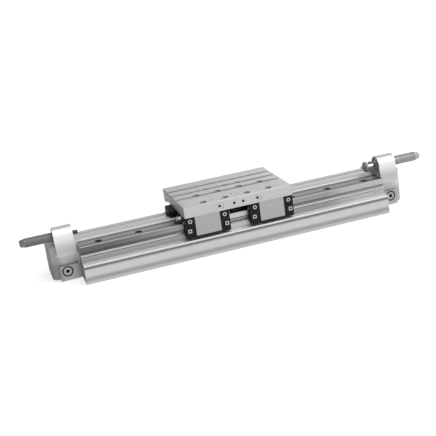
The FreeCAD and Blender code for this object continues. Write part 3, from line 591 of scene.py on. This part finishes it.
class Workshop:
    """Every finish of the cylinder, and the nodes that wear it."""

    FINISHES: Mapping[str, tuple[Finish, tuple[str, ...]]] = {
        "carrier": (MetalFinish(
            "drawn_anodised_aluminium", (0.50, 0.503, 0.506), roughness=0.38, grain=Grain.DRAWN,
            # Painted shade: the dark, speckled ends stand in for the shade in the profile's hollow chambers.
            metallic=0.55, contrast=0.05, bump=0.10, cut_tone=0.22, cut_contrast=0.85,
            cut_grain=(120.0, 160.0, 230.0),
            shades=(
                # The shallow strip and the narrow groove in the front lie in their own shadow.
                Shade(0.66, ((Z, 3.0, 6.5), (Z, 12.0, 8.5)), Y),
                Shade(0.42, ((Z, 21.0, 23.8), (Z, 27.6, 25.0)), Y),
                # The front of the top is lit, and the front dims towards the floor.
                Shade(1.36, ((Y, 14.0, 9.0), (Z, 27.0, 28.5)), Z),
                Shade(0.87, ((Z, 15.0, 2.0),), Y),
            )), ("rail_carrier",)),
        "barrel": (MetalFinish(
            "barrel_anodised_aluminium", (0.43, 0.433, 0.436), roughness=0.48, grain=Grain.DRAWN,
            metallic=0.45, contrast=0.05, bump=0.10, cut_tone=0.45), ("barrel",)),
        "plate": (MetalFinish(
            "milled_anodised_plate", (0.455, 0.458, 0.461), roughness=0.46, grain=Grain.MILLED, metallic=0.45,
            contrast=0.03, bump=0.05, cut_tone=0.85), ("mounting_plate",)),
        "lids": (MetalFinish(
            "flush_cap_aluminium", (0.43, 0.433, 0.436), roughness=0.42, grain=Grain.TURNED, metallic=0.50,
            contrast=0.04, bump=0.05), ("screw_caps",)),
        "cap": (MetalFinish(
            "blasted_cap_aluminium", (0.53, 0.533, 0.536), roughness=0.42, grain=Grain.BLASTED, metallic=0.50,
            contrast=0.04, bump=0.12, cut_tone=0.60,
            shades=(
                # The caps dim towards the floor, and the left one towards its outer end.
                Shade(0.66, ((Z, 36.0, 22.0),)),
                Shade(0.60, ((X, -262.0, -275.0),)),
            )), both("end_cap")),
        "bracket": (MetalFinish(
            "blasted_bracket_aluminium", (0.72, 0.723, 0.726), roughness=0.42, grain=Grain.BLASTED,
            metallic=0.45, contrast=0.04, bump=0.12, cut_tone=0.55,
            shades=(
                # Painted shade: the apron dims downwards, and the flat tops are greyer than the arch.
                Shade(0.56, ((Z, 71.0, 49.0),), Y),
                Shade(0.60, (), Z),
            )), both("shock_bracket")),
        "rail": (RailFinish(
            "ground_rail_steel", (0.33, 0.331, 0.334), roughness=0.38, grain=Grain.GROUND, metallic=0.90,
            contrast=0.08, bump=0.10,
            shades=(
                # Painted shade darkens the flank to the left, and the top and the waist under the head all
                # along.
                Shade(0.37, ((X, -40.0, -215.0), (Z, 36.6, 40.5)), Y),
                Shade(0.72, (), Z),
                Shade(0.50, ((Z, 38.2, 38.9), (Z, 42.2, 40.9))),
                # Painted shade along the top's front edge, and a painted highlight along its rear edge.
                Shade(0.50, ((Z, 52.1, 52.5), (Y, 24.0, 20.0))),
                Shade(2.0, ((Z, 52.1, 52.5), (Y, 33.5, 34.8))),
                # The flank is lit in the middle and at the right, with a dimmer stretch between.
                Shade(1.6, ((X, -100.0, -15.0), (X, 100.0, 15.0)), Y),
                Shade(1.28, ((X, 140.0, 190.0),), Y),
                Shade(0.86, ((X, 78.0, 100.0), (X, 170.0, 135.0)), Y),
            )), ("guide_rail",)),
        "block": (MetalFinish(
            "ground_block_steel", (0.36, 0.361, 0.363), roughness=0.36, grain=Grain.GROUND, metallic=0.85,
            contrast=0.07, bump=0.10, cut_tone=0.7), both("runner_block")),
        "band": (MetalFinish(
            "rolled_band_steel", (0.50, 0.50, 0.505), roughness=0.26, grain=Grain.DRAWN, contrast=0.05,
            bump=0.06), ("cover_band",)),
        "screws": (MetalFinish(
            "zinc_plated_screws", (0.22, 0.22, 0.225), roughness=0.36, grain=Grain.BLASTED, contrast=0.12,
            bump=0.10), ("rail_screws", "carrier_screws", "carrier_nuts", "end_cap_screws", "bracket_screws",
                         "block_screws", "driver_screws", "yoke_screws", "cover_screws", "block_cap_screws")),
        "plugs": (PlugFinish(
            "plated_plugs", (0.33, 0.33, 0.334), roughness=0.34, grain=Grain.BLASTED, metallic=0.8, bump=0.08,
            socket_depth=33.6), ("port_plugs",)),
        "nipples": (MetalFinish(
            "nipple_steel", (0.86, 0.86, 0.865), roughness=0.24, grain=Grain.BLASTED, metallic=0.75,
            contrast=0.05, bump=0.04), ("grease_nipples",)),
        "cap_plugs": (PlugFinish(
            "cap_plug_steel", (0.60, 0.60, 0.605), roughness=0.34, grain=Grain.BLASTED, metallic=0.8,
            bump=0.08), ("block_cap_plugs",)),
        "dark": (MetalFinish(
            "nitrided_steel", (0.36, 0.36, 0.363), roughness=0.50, grain=Grain.TURNED, metallic=0.6,
            contrast=0.05, bump=0.08,
            # Painted shade: the left shock absorber is darker than the right one.
            shades=(Shade(0.50, ((X, 0.0, -230.0),)),)), both("shock_body") + ("lock_nuts",)),
        "rod": (MetalFinish(
            "polished_rod", (0.60, 0.60, 0.61), roughness=0.12, grain=Grain.TURNED, contrast=0.03,
            bump=0.02), ("plunger_rod_right",)),
        "brass": (MetalFinish(
            "turned_brass", (0.55, 0.41, 0.20), roughness=0.30, grain=Grain.TURNED, contrast=0.10,
            bump=0.06), ("cushion_needles",)),
        "machined": (MetalFinish(
            "machined_aluminium", (0.44, 0.443, 0.446), roughness=0.38, grain=Grain.MILLED, metallic=0.7,
            contrast=0.05, bump=0.08), ("driver", "piston_yoke", "cushion_tubes", "band_clamps")),
        "magnet": (MetalFinish(
            "sintered_magnet", (0.14, 0.14, 0.15), roughness=0.55, grain=Grain.BLASTED, metallic=0.9,
            contrast=0.12, bump=0.20), ("piston_magnets",)),
        "black": (PlasticFinish(
            "black_moulded_plastic", (0.006, 0.006, 0.0064), roughness=0.52, dust=0.02, bump=0.20,
            specular=0.16), both("driver_cover", "block_cap_outer", "block_cap_inner", "piston")),
        "bumper": (PlasticFinish(
            "bumper_plastic", (0.21, 0.21, 0.212), roughness=0.42, dust=0.05, bump=0.12,
            specular=0.40), ("bumper_right",)),
        # The left plunger's stub is a real part, and its near-black colour is painted shade.
        "stub": (PlasticFinish(
            "stub_plastic", (0.035, 0.035, 0.036), roughness=0.46, dust=0.05, bump=0.12,
            specular=0.35), ("plunger_rod_left",)),
        "seal": (PlasticFinish(
            "cast_seal_plastic", (0.55, 0.51, 0.38), roughness=0.40, dust=0.05,
            bump=0.15), ("sealing_band", "wear_rings")),
        "rubber": (RubberFinish(
            "wiper_rubber", (0.010, 0.010, 0.010)),
            ("block_wipers", "bottom_seals", "band_wipers", "piston_seals", "spigot_seals")),
    }

    def dress(self, objects: Mapping[str, bpy.types.Object]) -> dict[str, bpy.types.Material]:
        """Gives every CAD node its material.

        Args:
            objects: The frame's nodes by name.

        Returns:
            Each finish's material by the finish's key.
        """
        made: dict[str, bpy.types.Material] = {}
        for key, (finish, names) in self.FINISHES.items():
            made[key] = finish.build()
            for name in names:
                slots = objects[name].data.materials
                slots.clear()
                slots.append(made[key])
            LOG.info("finish %s on %d nodes", finish.name, len(names))
        return made


def add_piece(name: str, mesh: bpy.types.Mesh, material: bpy.types.Material, body: str) -> bpy.types.Object:
    """Links a finished mesh as one piece of the object.

    Args:
        name: The piece's name.
        mesh: Its mesh, in the part's frame.
        material: Its material.
        body: The CAD body that it rides on.

    Returns:
        The piece.
    """
    if material.name not in mesh.materials:
        mesh.materials.clear()
        mesh.materials.append(material)
    piece = bpy.data.objects.new(name, mesh)
    bpy.context.scene.collection.objects.link(piece)
    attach(piece, body)
    LOG.info("piece %s: %d faces", name, len(mesh.polygons))
    return piece


def smooth_by_angle(mesh: bpy.types.Mesh, turn: float) -> None:
    """Shades a mesh smooth, apart from its sharper edges.

    Args:
        mesh: The mesh.
        turn: The largest turn between two faces, in degrees, that is still shaded smooth.
    """
    made = bmesh.new()
    made.from_mesh(mesh)
    for edge in made.edges:
        edge.smooth = len(edge.link_faces) == 2 and edge.calc_face_angle(0.0) < math.radians(turn)
    for face in made.faces:
        face.smooth = True
    made.to_mesh(mesh)
    made.free()


def skinned(name: str, rings: Sequence[Sequence[Triple]], turn: float, looped: bool = False,
            capped: bool = False) -> bpy.types.Mesh:
    """Joins rings of points with faces.

    Args:
        name: The mesh's name.
        rings: Points in metres, equally many in each ring, or one where the shape comes to a pole.
        turn: The largest turn between two faces, in degrees, that is still shaded smooth.
        looped: Joins the last ring to the first.
        capped: Closes the first and the last ring with a face.

    Returns:
        The mesh.
    """
    made = bmesh.new()
    rows = [[made.verts.new(point) for point in ring] for ring in rings]
    steps = max(len(row) for row in rows)
    for first, second in zip(rows, rows[1:] + (rows[:1] if looped else [])):
        for step in range(steps):
            after = (step + 1) % steps
            around = [first[step % len(first)], first[after % len(first)],
                      second[after % len(second)], second[step % len(second)]]
            unique = list(dict.fromkeys(around))
            if len(unique) > 2:
                made.faces.new(unique)
    if capped:
        made.faces.new(rows[0])
        made.faces.new(rows[-1])
    bmesh.ops.recalc_face_normals(made, faces=made.faces)
    mesh = bpy.data.meshes.new(name)
    made.to_mesh(mesh)
    made.free()
    smooth_by_angle(mesh, turn)
    return mesh


def turned(outline: Sequence[tuple[float, float]], depth: float, height: float, steps: int = 48,
           smooth_turn: float = 35.0) -> bpy.types.Mesh:
    """Turns an outline about an axis that runs along X.

    Args:
        outline: (x, radius) points in millimetres, from one end of the axis to the other.
        depth: Depth of the axis in millimetres.
        height: Height of the axis in millimetres.
        steps: Number of flats round the axis.
        smooth_turn: The largest turn between two faces, in degrees, that is still shaded smooth.

    Returns:
        The mesh.
    """
    turns = [2 * math.pi * step / steps for step in range(steps)]
    rings = []
    for x, radius in outline:
        angles = turns if radius > 0.0 else turns[:1]
        rings.append([(x * MM, behind(depth) + radius * MM * math.cos(angle),
                       (height + radius * math.sin(angle)) * MM) for angle in angles])
    return skinned("turned", rings, smooth_turn)


@dataclass(frozen=True)
class BrokenEdges:
    """Copies of rigid nodes whose sharp edges are broken, as a deburred part's are.

    Each width of chamfer, in millimetres, has the nodes that get it.
    """

    widths: tuple[tuple[float, tuple[str, ...]], ...] = (
        (0.30, ("mounting_plate",)), (0.25, ("rail_carrier",)), (0.30, both("end_cap")),
        (0.35, both("shock_bracket")), (0.30, both("runner_block")),
        (0.35, both("block_cap_outer", "block_cap_inner", "driver_cover")))
    least_turn: float = 28.0
    flat_turn: float = 0.5
    smooth_turn: float = 31.0
    weld: float = 0.002

    def copy(self, node: bpy.types.Object, width: float) -> bpy.types.Mesh:
        """Makes a welded copy of a node's mesh with narrow chamfers.

        Args:
            node: The CAD node.
            width: The chamfer's width in millimetres.

        Returns:
            The new mesh.
        """
        made = bmesh.new()
        made.from_mesh(node.data)
        bmesh.ops.remove_doubles(made, verts=made.verts, dist=self.weld * MM)
        bmesh.ops.dissolve_limit(made, angle_limit=math.radians(self.flat_turn), verts=made.verts,
                                 edges=made.edges)
        sharp = [edge for edge in made.edges if len(edge.link_faces) == 2
                 and edge.calc_face_angle(0.0) > math.radians(self.least_turn)]
        bmesh.ops.bevel(made, geom=sharp, offset=width * MM, offset_type="OFFSET", segments=1, profile=0.5,
                        affect="EDGES", clamp_overlap=True)
        mesh = bpy.data.meshes.new(node.name + "_deburred")
        made.to_mesh(mesh)
        made.free()
        smooth_by_angle(mesh, self.smooth_turn)
        mesh.materials.append(node.data.materials[0])
        return mesh

    def build(self, objects: Mapping[str, bpy.types.Object]) -> None:
        """Replaces each named node with its deburred copy.

        Args:
            objects: The frame's nodes by name.
        """
        for width, names in self.widths:
            for name in names:
                node = objects[name]
                mesh = self.copy(node, width)
                piece = add_piece(name + "_deburred", mesh, mesh.materials[0], node["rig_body"])
                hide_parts(name)


class Pattern:
    """One geometry node tree, run on an empty mesh and turned into a plain mesh."""

    def __init__(self, name: str) -> None:
        """Starts a tree with its geometry output.

        Args:
            name: The tree's name.
        """
        self.tree = bpy.data.node_groups.new(name, "GeometryNodeTree")
        self.tree.interface.new_socket(name="Geometry", in_out="OUTPUT", socket_type="NodeSocketGeometry")
        self.graph = Graph(self.tree)
        self.sizes: dict[str, float] = {}

    def ask(self, **sizes: float) -> dict[str, bpy.types.NodeSocket]:
        """Args:
            **sizes: Each size's name and value, in metres or as a count.

        Returns:
            The sockets by name.
        """
        for name, value in sizes.items():
            kind = "NodeSocketInt" if isinstance(value, int) else "NodeSocketFloat"
            socket = self.tree.interface.new_socket(name=name, in_out="INPUT", socket_type=kind)
            self.sizes[socket.identifier] = value
        inputs = self.graph.node("NodeGroupInput")
        return {name: inputs.outputs[name] for name in sizes}

    def circle(self, flats: Input, radius: Input) -> bpy.types.NodeSocket:
        """Adds a circle with this number of flats and this radius in metres."""
        return self.graph.node("GeometryNodeCurvePrimitiveCircle", {"mode": "RADIUS"},
                               {"Resolution": flats, "Radius": radius}).outputs[0]

    def swept(self, curve: bpy.types.NodeSocket, profile: bpy.types.NodeSocket,
              capped: bool = True) -> bpy.types.NodeSocket:
        """Sweeps a profile along a curve, and closes the ends where it is capped."""
        return self.graph.node("GeometryNodeCurveToMesh", None,
                               {"Curve": curve, "Profile Curve": profile, "Fill Caps": capped}).outputs[0]

    def mesh(self, shape: bpy.types.NodeSocket, material: bpy.types.Material) -> bpy.types.Mesh:
        """Ends the tree, runs it and reads its result.

        Args:
            shape: The geometry to keep.
            material: The material of all of it.

        Returns:
            A plain mesh.
        """
        real = self.graph.node("GeometryNodeRealizeInstances", None, {"Geometry": shape})
        dressed = self.graph.node("GeometryNodeSetMaterial", None,
                                  {"Geometry": real.outputs[0], "Material": material})
        self.graph.node("NodeGroupOutput", None, {"Geometry": dressed.outputs[0]})
        holder = bpy.data.objects.new(self.tree.name, bpy.data.meshes.new(self.tree.name))
        bpy.context.scene.collection.objects.link(holder)
        modifier = holder.modifiers.new("pattern", "NODES")
        modifier.node_group = self.tree
        for identifier, value in self.sizes.items():
            modifier[identifier] = value
        bpy.context.view_layer.update()
        depsgraph = bpy.context.evaluated_depsgraph_get()
        mesh = bpy.data.meshes.new_from_object(holder.evaluated_get(depsgraph))
        holder.modifiers.remove(modifier)
        bpy.data.objects.remove(holder)
        return mesh


@dataclass(frozen=True)
class ShockAbsorber:
    """Threaded body of one shock absorber, with its tip and the thread's runout.

    Its outlines are (offset along the axis, rise from the thread's root) for the mouth and the collar, and
    (offset from the end, radius) for the tip. Offsets are positive outwards.
    """

    side: Side
    mouth: Outline = ((0.0, -0.5), (0.6, 0.1), (1.6, 0.1), (2.0, 0.0))
    collar: Outline = ((-1.2, 0.0), (-0.8, 0.25), (0.0, 0.25), (0.6, -0.4))
    tip: Outline = ((-1.2, 5.2), (-0.1, 4.3), (-0.1, 3.0), (-1.4, 2.7), (-1.4, 0.0))
    start: float = 243.0
    end: float = 319.0
    depth: float = 43.8
    height: float = 68.0
    radius: float = 7.0
    pitch: float = 1.5
    thread_depth: float = 0.45
    thread_inset: float = 2.0
    thread_runout: float = 1.4
    thread_flats: int = 30
    ridge_share: float = 1.12
    ridge_flats: int = 4
    tip_length: float = 7.0
    guide_radius: float = 3.05
    guide_length: float = 10.0

    def core(self) -> bpy.types.Mesh:
        """Makes the turned core under the thread, open at the plunger's guide.

        Returns:
            The core's mesh.
        """
        root = self.radius - self.thread_depth
        shoulder = self.end - self.tip_length
        points = [(self.start + self.guide_length, self.guide_radius), (self.start, self.guide_radius),
                  *((self.start + x, root + rise) for x, rise in self.mouth),
                  *((shoulder + x, root + rise) for x, rise in self.collar),
                  *((self.end + x, radius) for x, radius in self.tip)]
        return turned([(self.side.value * x, radius) for x, radius in points], self.depth, self.height)

    def thread(self, material: bpy.types.Material) -> bpy.types.Mesh:
        """Makes the ridge that winds round the core.

        Args:
            material: The ridge's material.

        Returns:
            The ridge's mesh.
        """
        start = self.start + self.thread_inset
        length = self.end - self.tip_length - self.thread_runout - start
        pattern = Pattern("shock_thread_" + self.side.word)
        sizes = pattern.ask(Turns=length / self.pitch, Radius=(self.radius - self.thread_depth) * MM,
                            Length=length * MM, Ridge=self.thread_depth * self.ridge_share * MM,
                            Flats=self.thread_flats)
        graph = pattern.graph
        spiral = graph.node("GeometryNodeCurveSpiral", None, {
            "Resolution": sizes["Flats"], "Rotations": sizes["Turns"], "Start Radius": sizes["Radius"],
            "End Radius": sizes["Radius"], "Height": sizes["Length"]})
        upright = graph.node("GeometryNodeSetCurveNormal", {"mode": "Z_UP"}, {"Curve": spiral.outputs[0]})
        ridge = pattern.swept(upright.outputs[0], pattern.circle(self.ridge_flats, sizes["Ridge"]))
        # The spiral climbs along +X once it is turned, so the left one starts at its outer end.
        low = start if self.side is Side.RIGHT else -start - length
        laid = graph.node("GeometryNodeTransform", None, {
            "Geometry": ridge, "Translation": Vector((low * MM, behind(self.depth), self.height * MM)),
            "Rotation": (0.0, math.pi / 2, 0.0)})
        return pattern.mesh(laid.outputs[0], material)

    def build(self, material: bpy.types.Material) -> None:
        """Makes the body and its thread, which stand for the plain node.

        Args:
            material: The steel's material.
        """
        word = self.side.word
        core = add_piece("shock_core_" + word, self.core(), material, "base")
        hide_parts("shock_body_" + word)
        ridge = add_piece("shock_thread_" + word, self.thread(material), material, "base")


@dataclass(frozen=True)
class PortSeal:
    """Bonded seal that lies in the recess round a port plug, with its lip on the plug's head."""

    side: Side
    port_x: float = 260.0
    height: float = 15.5
    face: float = 32.6
    inner: float = 6.65
    outer: float = 8.1
    lip: float = 6.1
    lip_rise: float = 0.03
    crown_rise: float = 0.15
    lip_slope: float = 0.05
    rim_slope: float = 0.2
    far: float = 1.5
    steps: int = 48
    smooth_turn: float = 50.0

    def build(self, material: bpy.types.Material) -> None:
        """Makes the ring.

        Args:
            material: The rubber's material.
        """
        outline = [(self.inner, self.far), (self.inner, -self.lip_rise), (self.lip, -self.lip_rise),
                   (self.lip + self.lip_slope, -self.crown_rise),
                   (self.outer - self.rim_slope, -self.crown_rise),
                   (self.outer, 0.0), (self.outer, self.far)]
        turns = [2 * math.pi * step / self.steps for step in range(self.steps)]
        rings = [[((self.side.value * self.port_x + radius * math.cos(angle)) * MM, behind(self.face + depth),
                   (self.height + radius * math.sin(angle)) * MM) for radius, depth in outline]
                 for angle in turns]
        # The seal's black rubber is partly painted shade: it stands in for the shade in the gap round the
        # plug.
        mesh = skinned("port_seal", rings, self.smooth_turn, looped=True)
        piece = add_piece("port_seal_" + self.side.word, mesh, material, "base")


@dataclass(frozen=True)
class GreaseNipple:
    """Turned grease nipple in the outer face of a runner block's cap.

    Its outline is (offset from the face, radius).
    """

    side: Side
    outline: Outline = (
        (0.0, 0.0), (0.0, 3.35), (2.2, 3.35), (2.6, 3.0), (2.9, 2.1), (4.2, 1.9), (4.7, 2.4), (5.3, 3.0),
        (6.2, 3.25), (7.0, 2.7), (7.4, 1.7), (7.45, 1.0), (6.9, 0.8), (6.7, 0.0))
    face: float = 84.0
    depth: float = 24.2
    height: float = 59.0
    steps: int = 36

    def build(self, material: bpy.types.Material) -> None:
        """Makes the nipple, which stands for its half of the plain node.

        Args:
            material: The plated steel's material.
        """
        points = [(self.side.value * (self.face + x), radius) for x, radius in self.outline]
        mesh = turned(points, self.depth, self.height, self.steps)
        piece = add_piece("grease_nipple_" + self.side.word, mesh, material, "carriage")
        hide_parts("grease_nipples")


@dataclass(frozen=True)
class WiperLips:
    """Raised rubber lip round the rail on each face of the runner blocks.

    Its profile is (how far it lies inside the widest line, height), from the mouth up to the crown.
    """

    profile: Outline = (
        (0.0, 36.6), (0.0, 38.6), (2.2, 41.0), (2.2, 42.8), (0.5, 45.4), (0.5, 53.0), (1.7, 54.2))
    block_centre: float = 50.2
    block_half: float = 33.8
    rail_line: float = 24.2
    half_width: float = 12.4
    lip_radius: float = 0.55
    corner_radius: float = 0.6
    corner_steps: int = 3
    flats: int = 10

    def path(self) -> list[tuple[float, float]]:
        """Points round the rail.

        Returns:
            (depth, height) points, from the front leg over the crown to the rear leg.
        """
        legs = [(self.half_width - inset, height) for inset, height in self.profile]
        front = [(self.rail_line - wide, height) for wide, height in legs]
        rear = [(self.rail_line + wide, height) for wide, height in reversed(legs)]
        return front + rear

    def guide(self) -> bpy.types.Object:
        """Draws the path once on each wiper's face.

        Returns:
            The object that holds the curve.
        """
        curve = bpy.data.curves.new("wiper_path", "CURVE")
        curve.dimensions = "3D"
        points = self.path()
        for side in Side:
            for way in Side:
                x = side.value * (self.block_centre + way.value * self.block_half)
                spline = curve.splines.new("POLY")
                spline.points.add(len(points) - 1)
                for point, (depth, height) in zip(spline.points, points):
                    point.co = (x * MM, behind(depth), height * MM, 1.0)
        holder = bpy.data.objects.new("wiper_path", curve)
        bpy.context.scene.collection.objects.link(holder)
        return holder

    def build(self, material: bpy.types.Material) -> None:
        """Makes the lips as one piece that rides on the carriage.

        Args:
            material: The rubber's material.
        """
        holder = self.guide()
        pattern = Pattern("wiper_lips")
        sizes = pattern.ask(Lip=self.lip_radius * MM, Flats=self.flats)
        graph = pattern.graph
        path = graph.node("GeometryNodeObjectInfo", {"transform_space": "ORIGINAL"}, {"Object": holder})
        rounded = graph.node("GeometryNodeFilletCurve", {"mode": "POLY"}, {
            "Curve": path.outputs["Geometry"], "Radius": self.corner_radius * MM, "Count": self.corner_steps})
        lip = pattern.swept(rounded.outputs[0], pattern.circle(sizes["Flats"], sizes["Lip"]))
        smooth = graph.node("GeometryNodeSetShadeSmooth", None, {"Geometry": lip})
        mesh = pattern.mesh(smooth.outputs[0], material)
        bpy.data.objects.remove(holder)
        piece = add_piece("wiper_lips", mesh, material, "carriage")


@dataclass(frozen=True)
class HoleThreads:
    """Thread ridges in the plate's load holes: one stack of rings, repeated over the grid of holes."""

    inner_column: float = 17.0
    outer_column: float = 51.0
    front_row: float = 10.3
    rear_row: float = 49.3
    radius: float = 3.0
    low: float = 68.4
    turns: int = 4
    pitch: float = 1.0
    ridge: float = 0.28
    flats: int = 20
    ridge_flats: int = 3

    def build(self, material: bpy.types.Material) -> None:
        """Makes all the ridges as one piece of the carriage.

        Args:
            material: The plate's material.
        """
        pattern = Pattern("hole_threads")
        sizes = pattern.ask(Radius=self.radius * MM, Ridge=self.ridge * MM, Pitch=self.pitch * MM,
                            Turns=self.turns, Width=(self.outer_column - self.inner_column) * MM,
                            Reach=(self.rear_row - self.front_row) * MM)
        graph = pattern.graph
        ridge = pattern.swept(pattern.circle(self.flats, sizes["Radius"]),
                              pattern.circle(self.ridge_flats, sizes["Ridge"]), capped=False)
        step = graph.node("ShaderNodeCombineXYZ", None, {"Z": sizes["Pitch"]})
        line = graph.node("GeometryNodeMeshLine", {"mode": "OFFSET"},
                          {"Count": sizes["Turns"], "Offset": step.outputs[0]})
        stack = graph.node("GeometryNodeInstanceOnPoints", None,
                           {"Points": line.outputs[0], "Instance": ridge})
        grid = graph.node("GeometryNodeMeshGrid", None, {
            "Size X": sizes["Width"], "Size Y": sizes["Reach"], "Vertices X": 2, "Vertices Y": 2})
        four = graph.node("GeometryNodeInstanceOnPoints", None,
                          {"Points": grid.outputs[0], "Instance": stack.outputs[0]})
        all_holes = graph.node("GeometryNodeJoinGeometry")
        middle_x = (self.inner_column + self.outer_column) / 2 * MM
        middle_y = behind((self.front_row + self.rear_row) / 2)
        for side in Side:
            place = Vector((side.value * middle_x, middle_y, self.low * MM))
            laid = graph.node("GeometryNodeTransform", None,
                              {"Geometry": four.outputs[0], "Translation": place})
            graph.tree.links.new(laid.outputs[0], all_holes.inputs[0])
        mesh = pattern.mesh(all_holes.outputs[0], material)
        piece = add_piece("load_hole_threads", mesh, material, "carriage")


@dataclass(frozen=True)
class CoverBand:
    """Steel band that lies flat in its seat, with the part that the carriage lifts riding on the carriage."""

    line: float = 69.5
    floor: float = 52.2
    end: float = 246.0
    half_width: float = 7.0
    thickness: float = 0.6
    crown: float = 0.04
    edge: float = 0.18
    lift: float = 6.4
    lift_outer: float = 62.0
    lift_inner: float = 31.0
    smooth_turn: float = 20.0

    def strip(self, name: str, line: Sequence[tuple[float, float]]) -> bpy.types.Mesh:
        """Makes a strip with eased edges along a line of points.

        Args:
            name: The mesh's name.
            line: (x, height of the underside) points in millimetres.

        Returns:
            The strip's mesh.
        """
        wide, top = self.half_width, self.thickness
        section = [(-wide, 0.0), (-wide, top - self.edge), (-wide + self.edge, top), (0.0, top + self.crown),
                   (wide - self.edge, top), (wide, top - self.edge), (wide, 0.0)]
        rings = [[(x * MM, behind(self.line + across), (height + up) * MM) for across, up in section]
                 for x, height in line]
        return skinned(name, rings, self.smooth_turn, capped=True)

    def build(self, material: bpy.types.Material) -> None:
        """Makes both parts of the band.

        Args:
            material: The band's material.
        """
        whole = [(-self.end, self.floor), (self.end, self.floor)]
        flat = add_piece("cover_band_flat", self.strip("band_flat", whole), material, "base")
        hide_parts("cover_band")
        raised = self.floor + self.lift
        hump = [(-self.lift_outer, self.floor), (-self.lift_inner, raised), (self.lift_inner, raised),
                (self.lift_outer, self.floor)]
        lifted = add_piece("cover_band_lifted", self.strip("band_lifted", hump), material, "carriage")


@dataclass(frozen=True)
class Sun:
    """Far lamp with a wide disc, which lights the floor evenly and casts soft shadows.

    The way points from the object to the lamp, and the spread is the disc's width in degrees.
    """

    name: str
    way: Triple
    strength: float
    spread: float

    def build(self) -> None:
        """Adds the lamp."""
        lamp = bpy.data.lights.new(self.name, "SUN")
        lamp.energy = self.strength
        lamp.angle = math.radians(self.spread)
        holder = bpy.data.objects.new(self.name, lamp)
        holder.rotation_euler = Vector(self.way).to_track_quat("Z", "Y").to_euler()
        bpy.context.scene.collection.objects.link(holder)


@dataclass(frozen=True)
class Studio:
    """Pale floor, soft light and the camera at the photograph's viewing angle.

    Turn, tilt and roll are the camera's angles in degrees. The floor gives off most of its own light, because
    the photograph shows the part on plain white.
    """

    turn: float = 14.99
    tilt: float = 18.44
    roll: float = -8.06
    focal_pixels: float = 925.8
    frame_pixels: float = 436.0
    distance: float = 1401.2
    shift_right: float = 21.5
    shift_up: float = 13.5
    target: Triple = (0.0, -21.5, 50.0)
    sensor: float = 36.0
    nearest: float = 50.0
    farthest: float = 50000.0
    floor_size: float = 80000.0
    floor_drop: float = 0.2
    floor_wash: Layer = Layer((2.0, 2.0, 2.0), 2.0)
    floor_tone: Triple = (0.30, 0.30, 0.30)
    floor_contrast: float = 0.005
    floor_roughness: float = 0.9
    floor_glow: float = 0.74
    sky_tone: Triple = (0.97, 0.985, 1.0)
    sky_rise: tuple[float, float] = (-0.8, 0.45)
    sky_low: float = 0.10
    sky_high: float = 1.05
    key: Sun = Sun("key", way=(0.30, -0.50, 0.82), strength=2.0, spread=55.0)

    def camera(self) -> None:
        """Adds the camera."""
        turn, tilt, roll = (math.radians(angle) for angle in (self.turn, self.tilt, self.roll))
        back = Vector((-math.sin(turn) * math.cos(tilt), -math.cos(turn) * math.cos(tilt), math.sin(tilt)))
        level = (-back).cross(Vector((0, 0, 1))).normalized()
        upright = level.cross(-back)
        right = level * math.cos(roll) + upright * math.sin(roll)
        top = -level * math.sin(roll) + upright * math.cos(roll)
        place = Vector(self.target) + back * self.distance - right * self.shift_right - top * self.shift_up
        data = bpy.data.cameras.new("camera")
        data.sensor_width = self.sensor
        data.lens = self.focal_pixels / self.frame_pixels * self.sensor
        data.clip_start = self.nearest * MM
        data.clip_end = self.farthest * MM
        holder = bpy.data.objects.new("camera", data)
        turned_to = Matrix((right, top, back)).transposed().to_4x4()
        holder.matrix_world = Matrix.Translation(place * MM) @ turned_to
        bpy.context.scene.collection.objects.link(holder)
        bpy.context.scene.camera = holder

    def floor(self) -> None:
        """Adds the floor."""
        half = self.floor_size / 2 * MM
        height = -self.floor_drop * MM
        mesh = bpy.data.meshes.new("floor")
        edge = ((-half, -half), (half, -half), (half, half), (-half, half))
        mesh.from_pydata([(x, y, height) for x, y in edge], [], [(0, 1, 2, 3)])
        made = Surface("pale_floor")
        wash = made.noise(self.floor_wash)
        colour = made.graph.mixed(wash, tinted(self.floor_tone, 1 - self.floor_contrast),
                                  tinted(self.floor_tone))
        mesh.materials.append(made.close(colour, self.floor_roughness, glow=self.floor_glow))
        piece = bpy.data.objects.new("floor", mesh)
        bpy.context.scene.collection.objects.link(piece)

    def sky(self) -> None:
        """Adds the surrounding light, dimmer on the left than on the right."""
        world = bpy.data.worlds.new("studio")
        world.use_nodes = True
        world.node_tree.nodes.clear()
        graph = Graph(world.node_tree)
        way = graph.node("ShaderNodeTexCoord").outputs["Generated"]
        across = graph.parts(way)[X].rise(*self.sky_rise)
        strength = across * (self.sky_high - self.sky_low) + self.sky_low
        light = graph.node("ShaderNodeBackground", None,
                           {"Color": tinted(self.sky_tone), "Strength": strength})
        graph.node("ShaderNodeOutputWorld", None, {"Surface": light.outputs[0]})
        bpy.context.scene.world = world

    def build(self) -> None:
        """Adds the camera, the floor, the sky and the lamp, and sets how tones are shown."""
        self.camera()
        self.floor()
        self.sky()
        self.key.build()
        view = bpy.context.scene.view_settings
        view.view_transform = "Standard"
        view.exposure = 0.0


def main() -> None:
    """Loads the frame, dresses every node and adds the pieces and the studio."""
    logging.basicConfig(level=logging.INFO, format="%(name)s: %(message)s")
    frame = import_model()
    objects = frame["nodes"]
    materials = Workshop().dress(objects)
    Studio().build()
    BrokenEdges().build(objects)
    for side in Side:
        ShockAbsorber(side).build(materials["dark"])
        PortSeal(side).build(materials["rubber"])
        GreaseNipple(side).build(materials["nipples"])
    WiperLips().build(materials["rubber"])
    HoleThreads().build(materials["plate"])
    CoverBand().build(materials["band"])


if __name__ == "__main__":
    main()
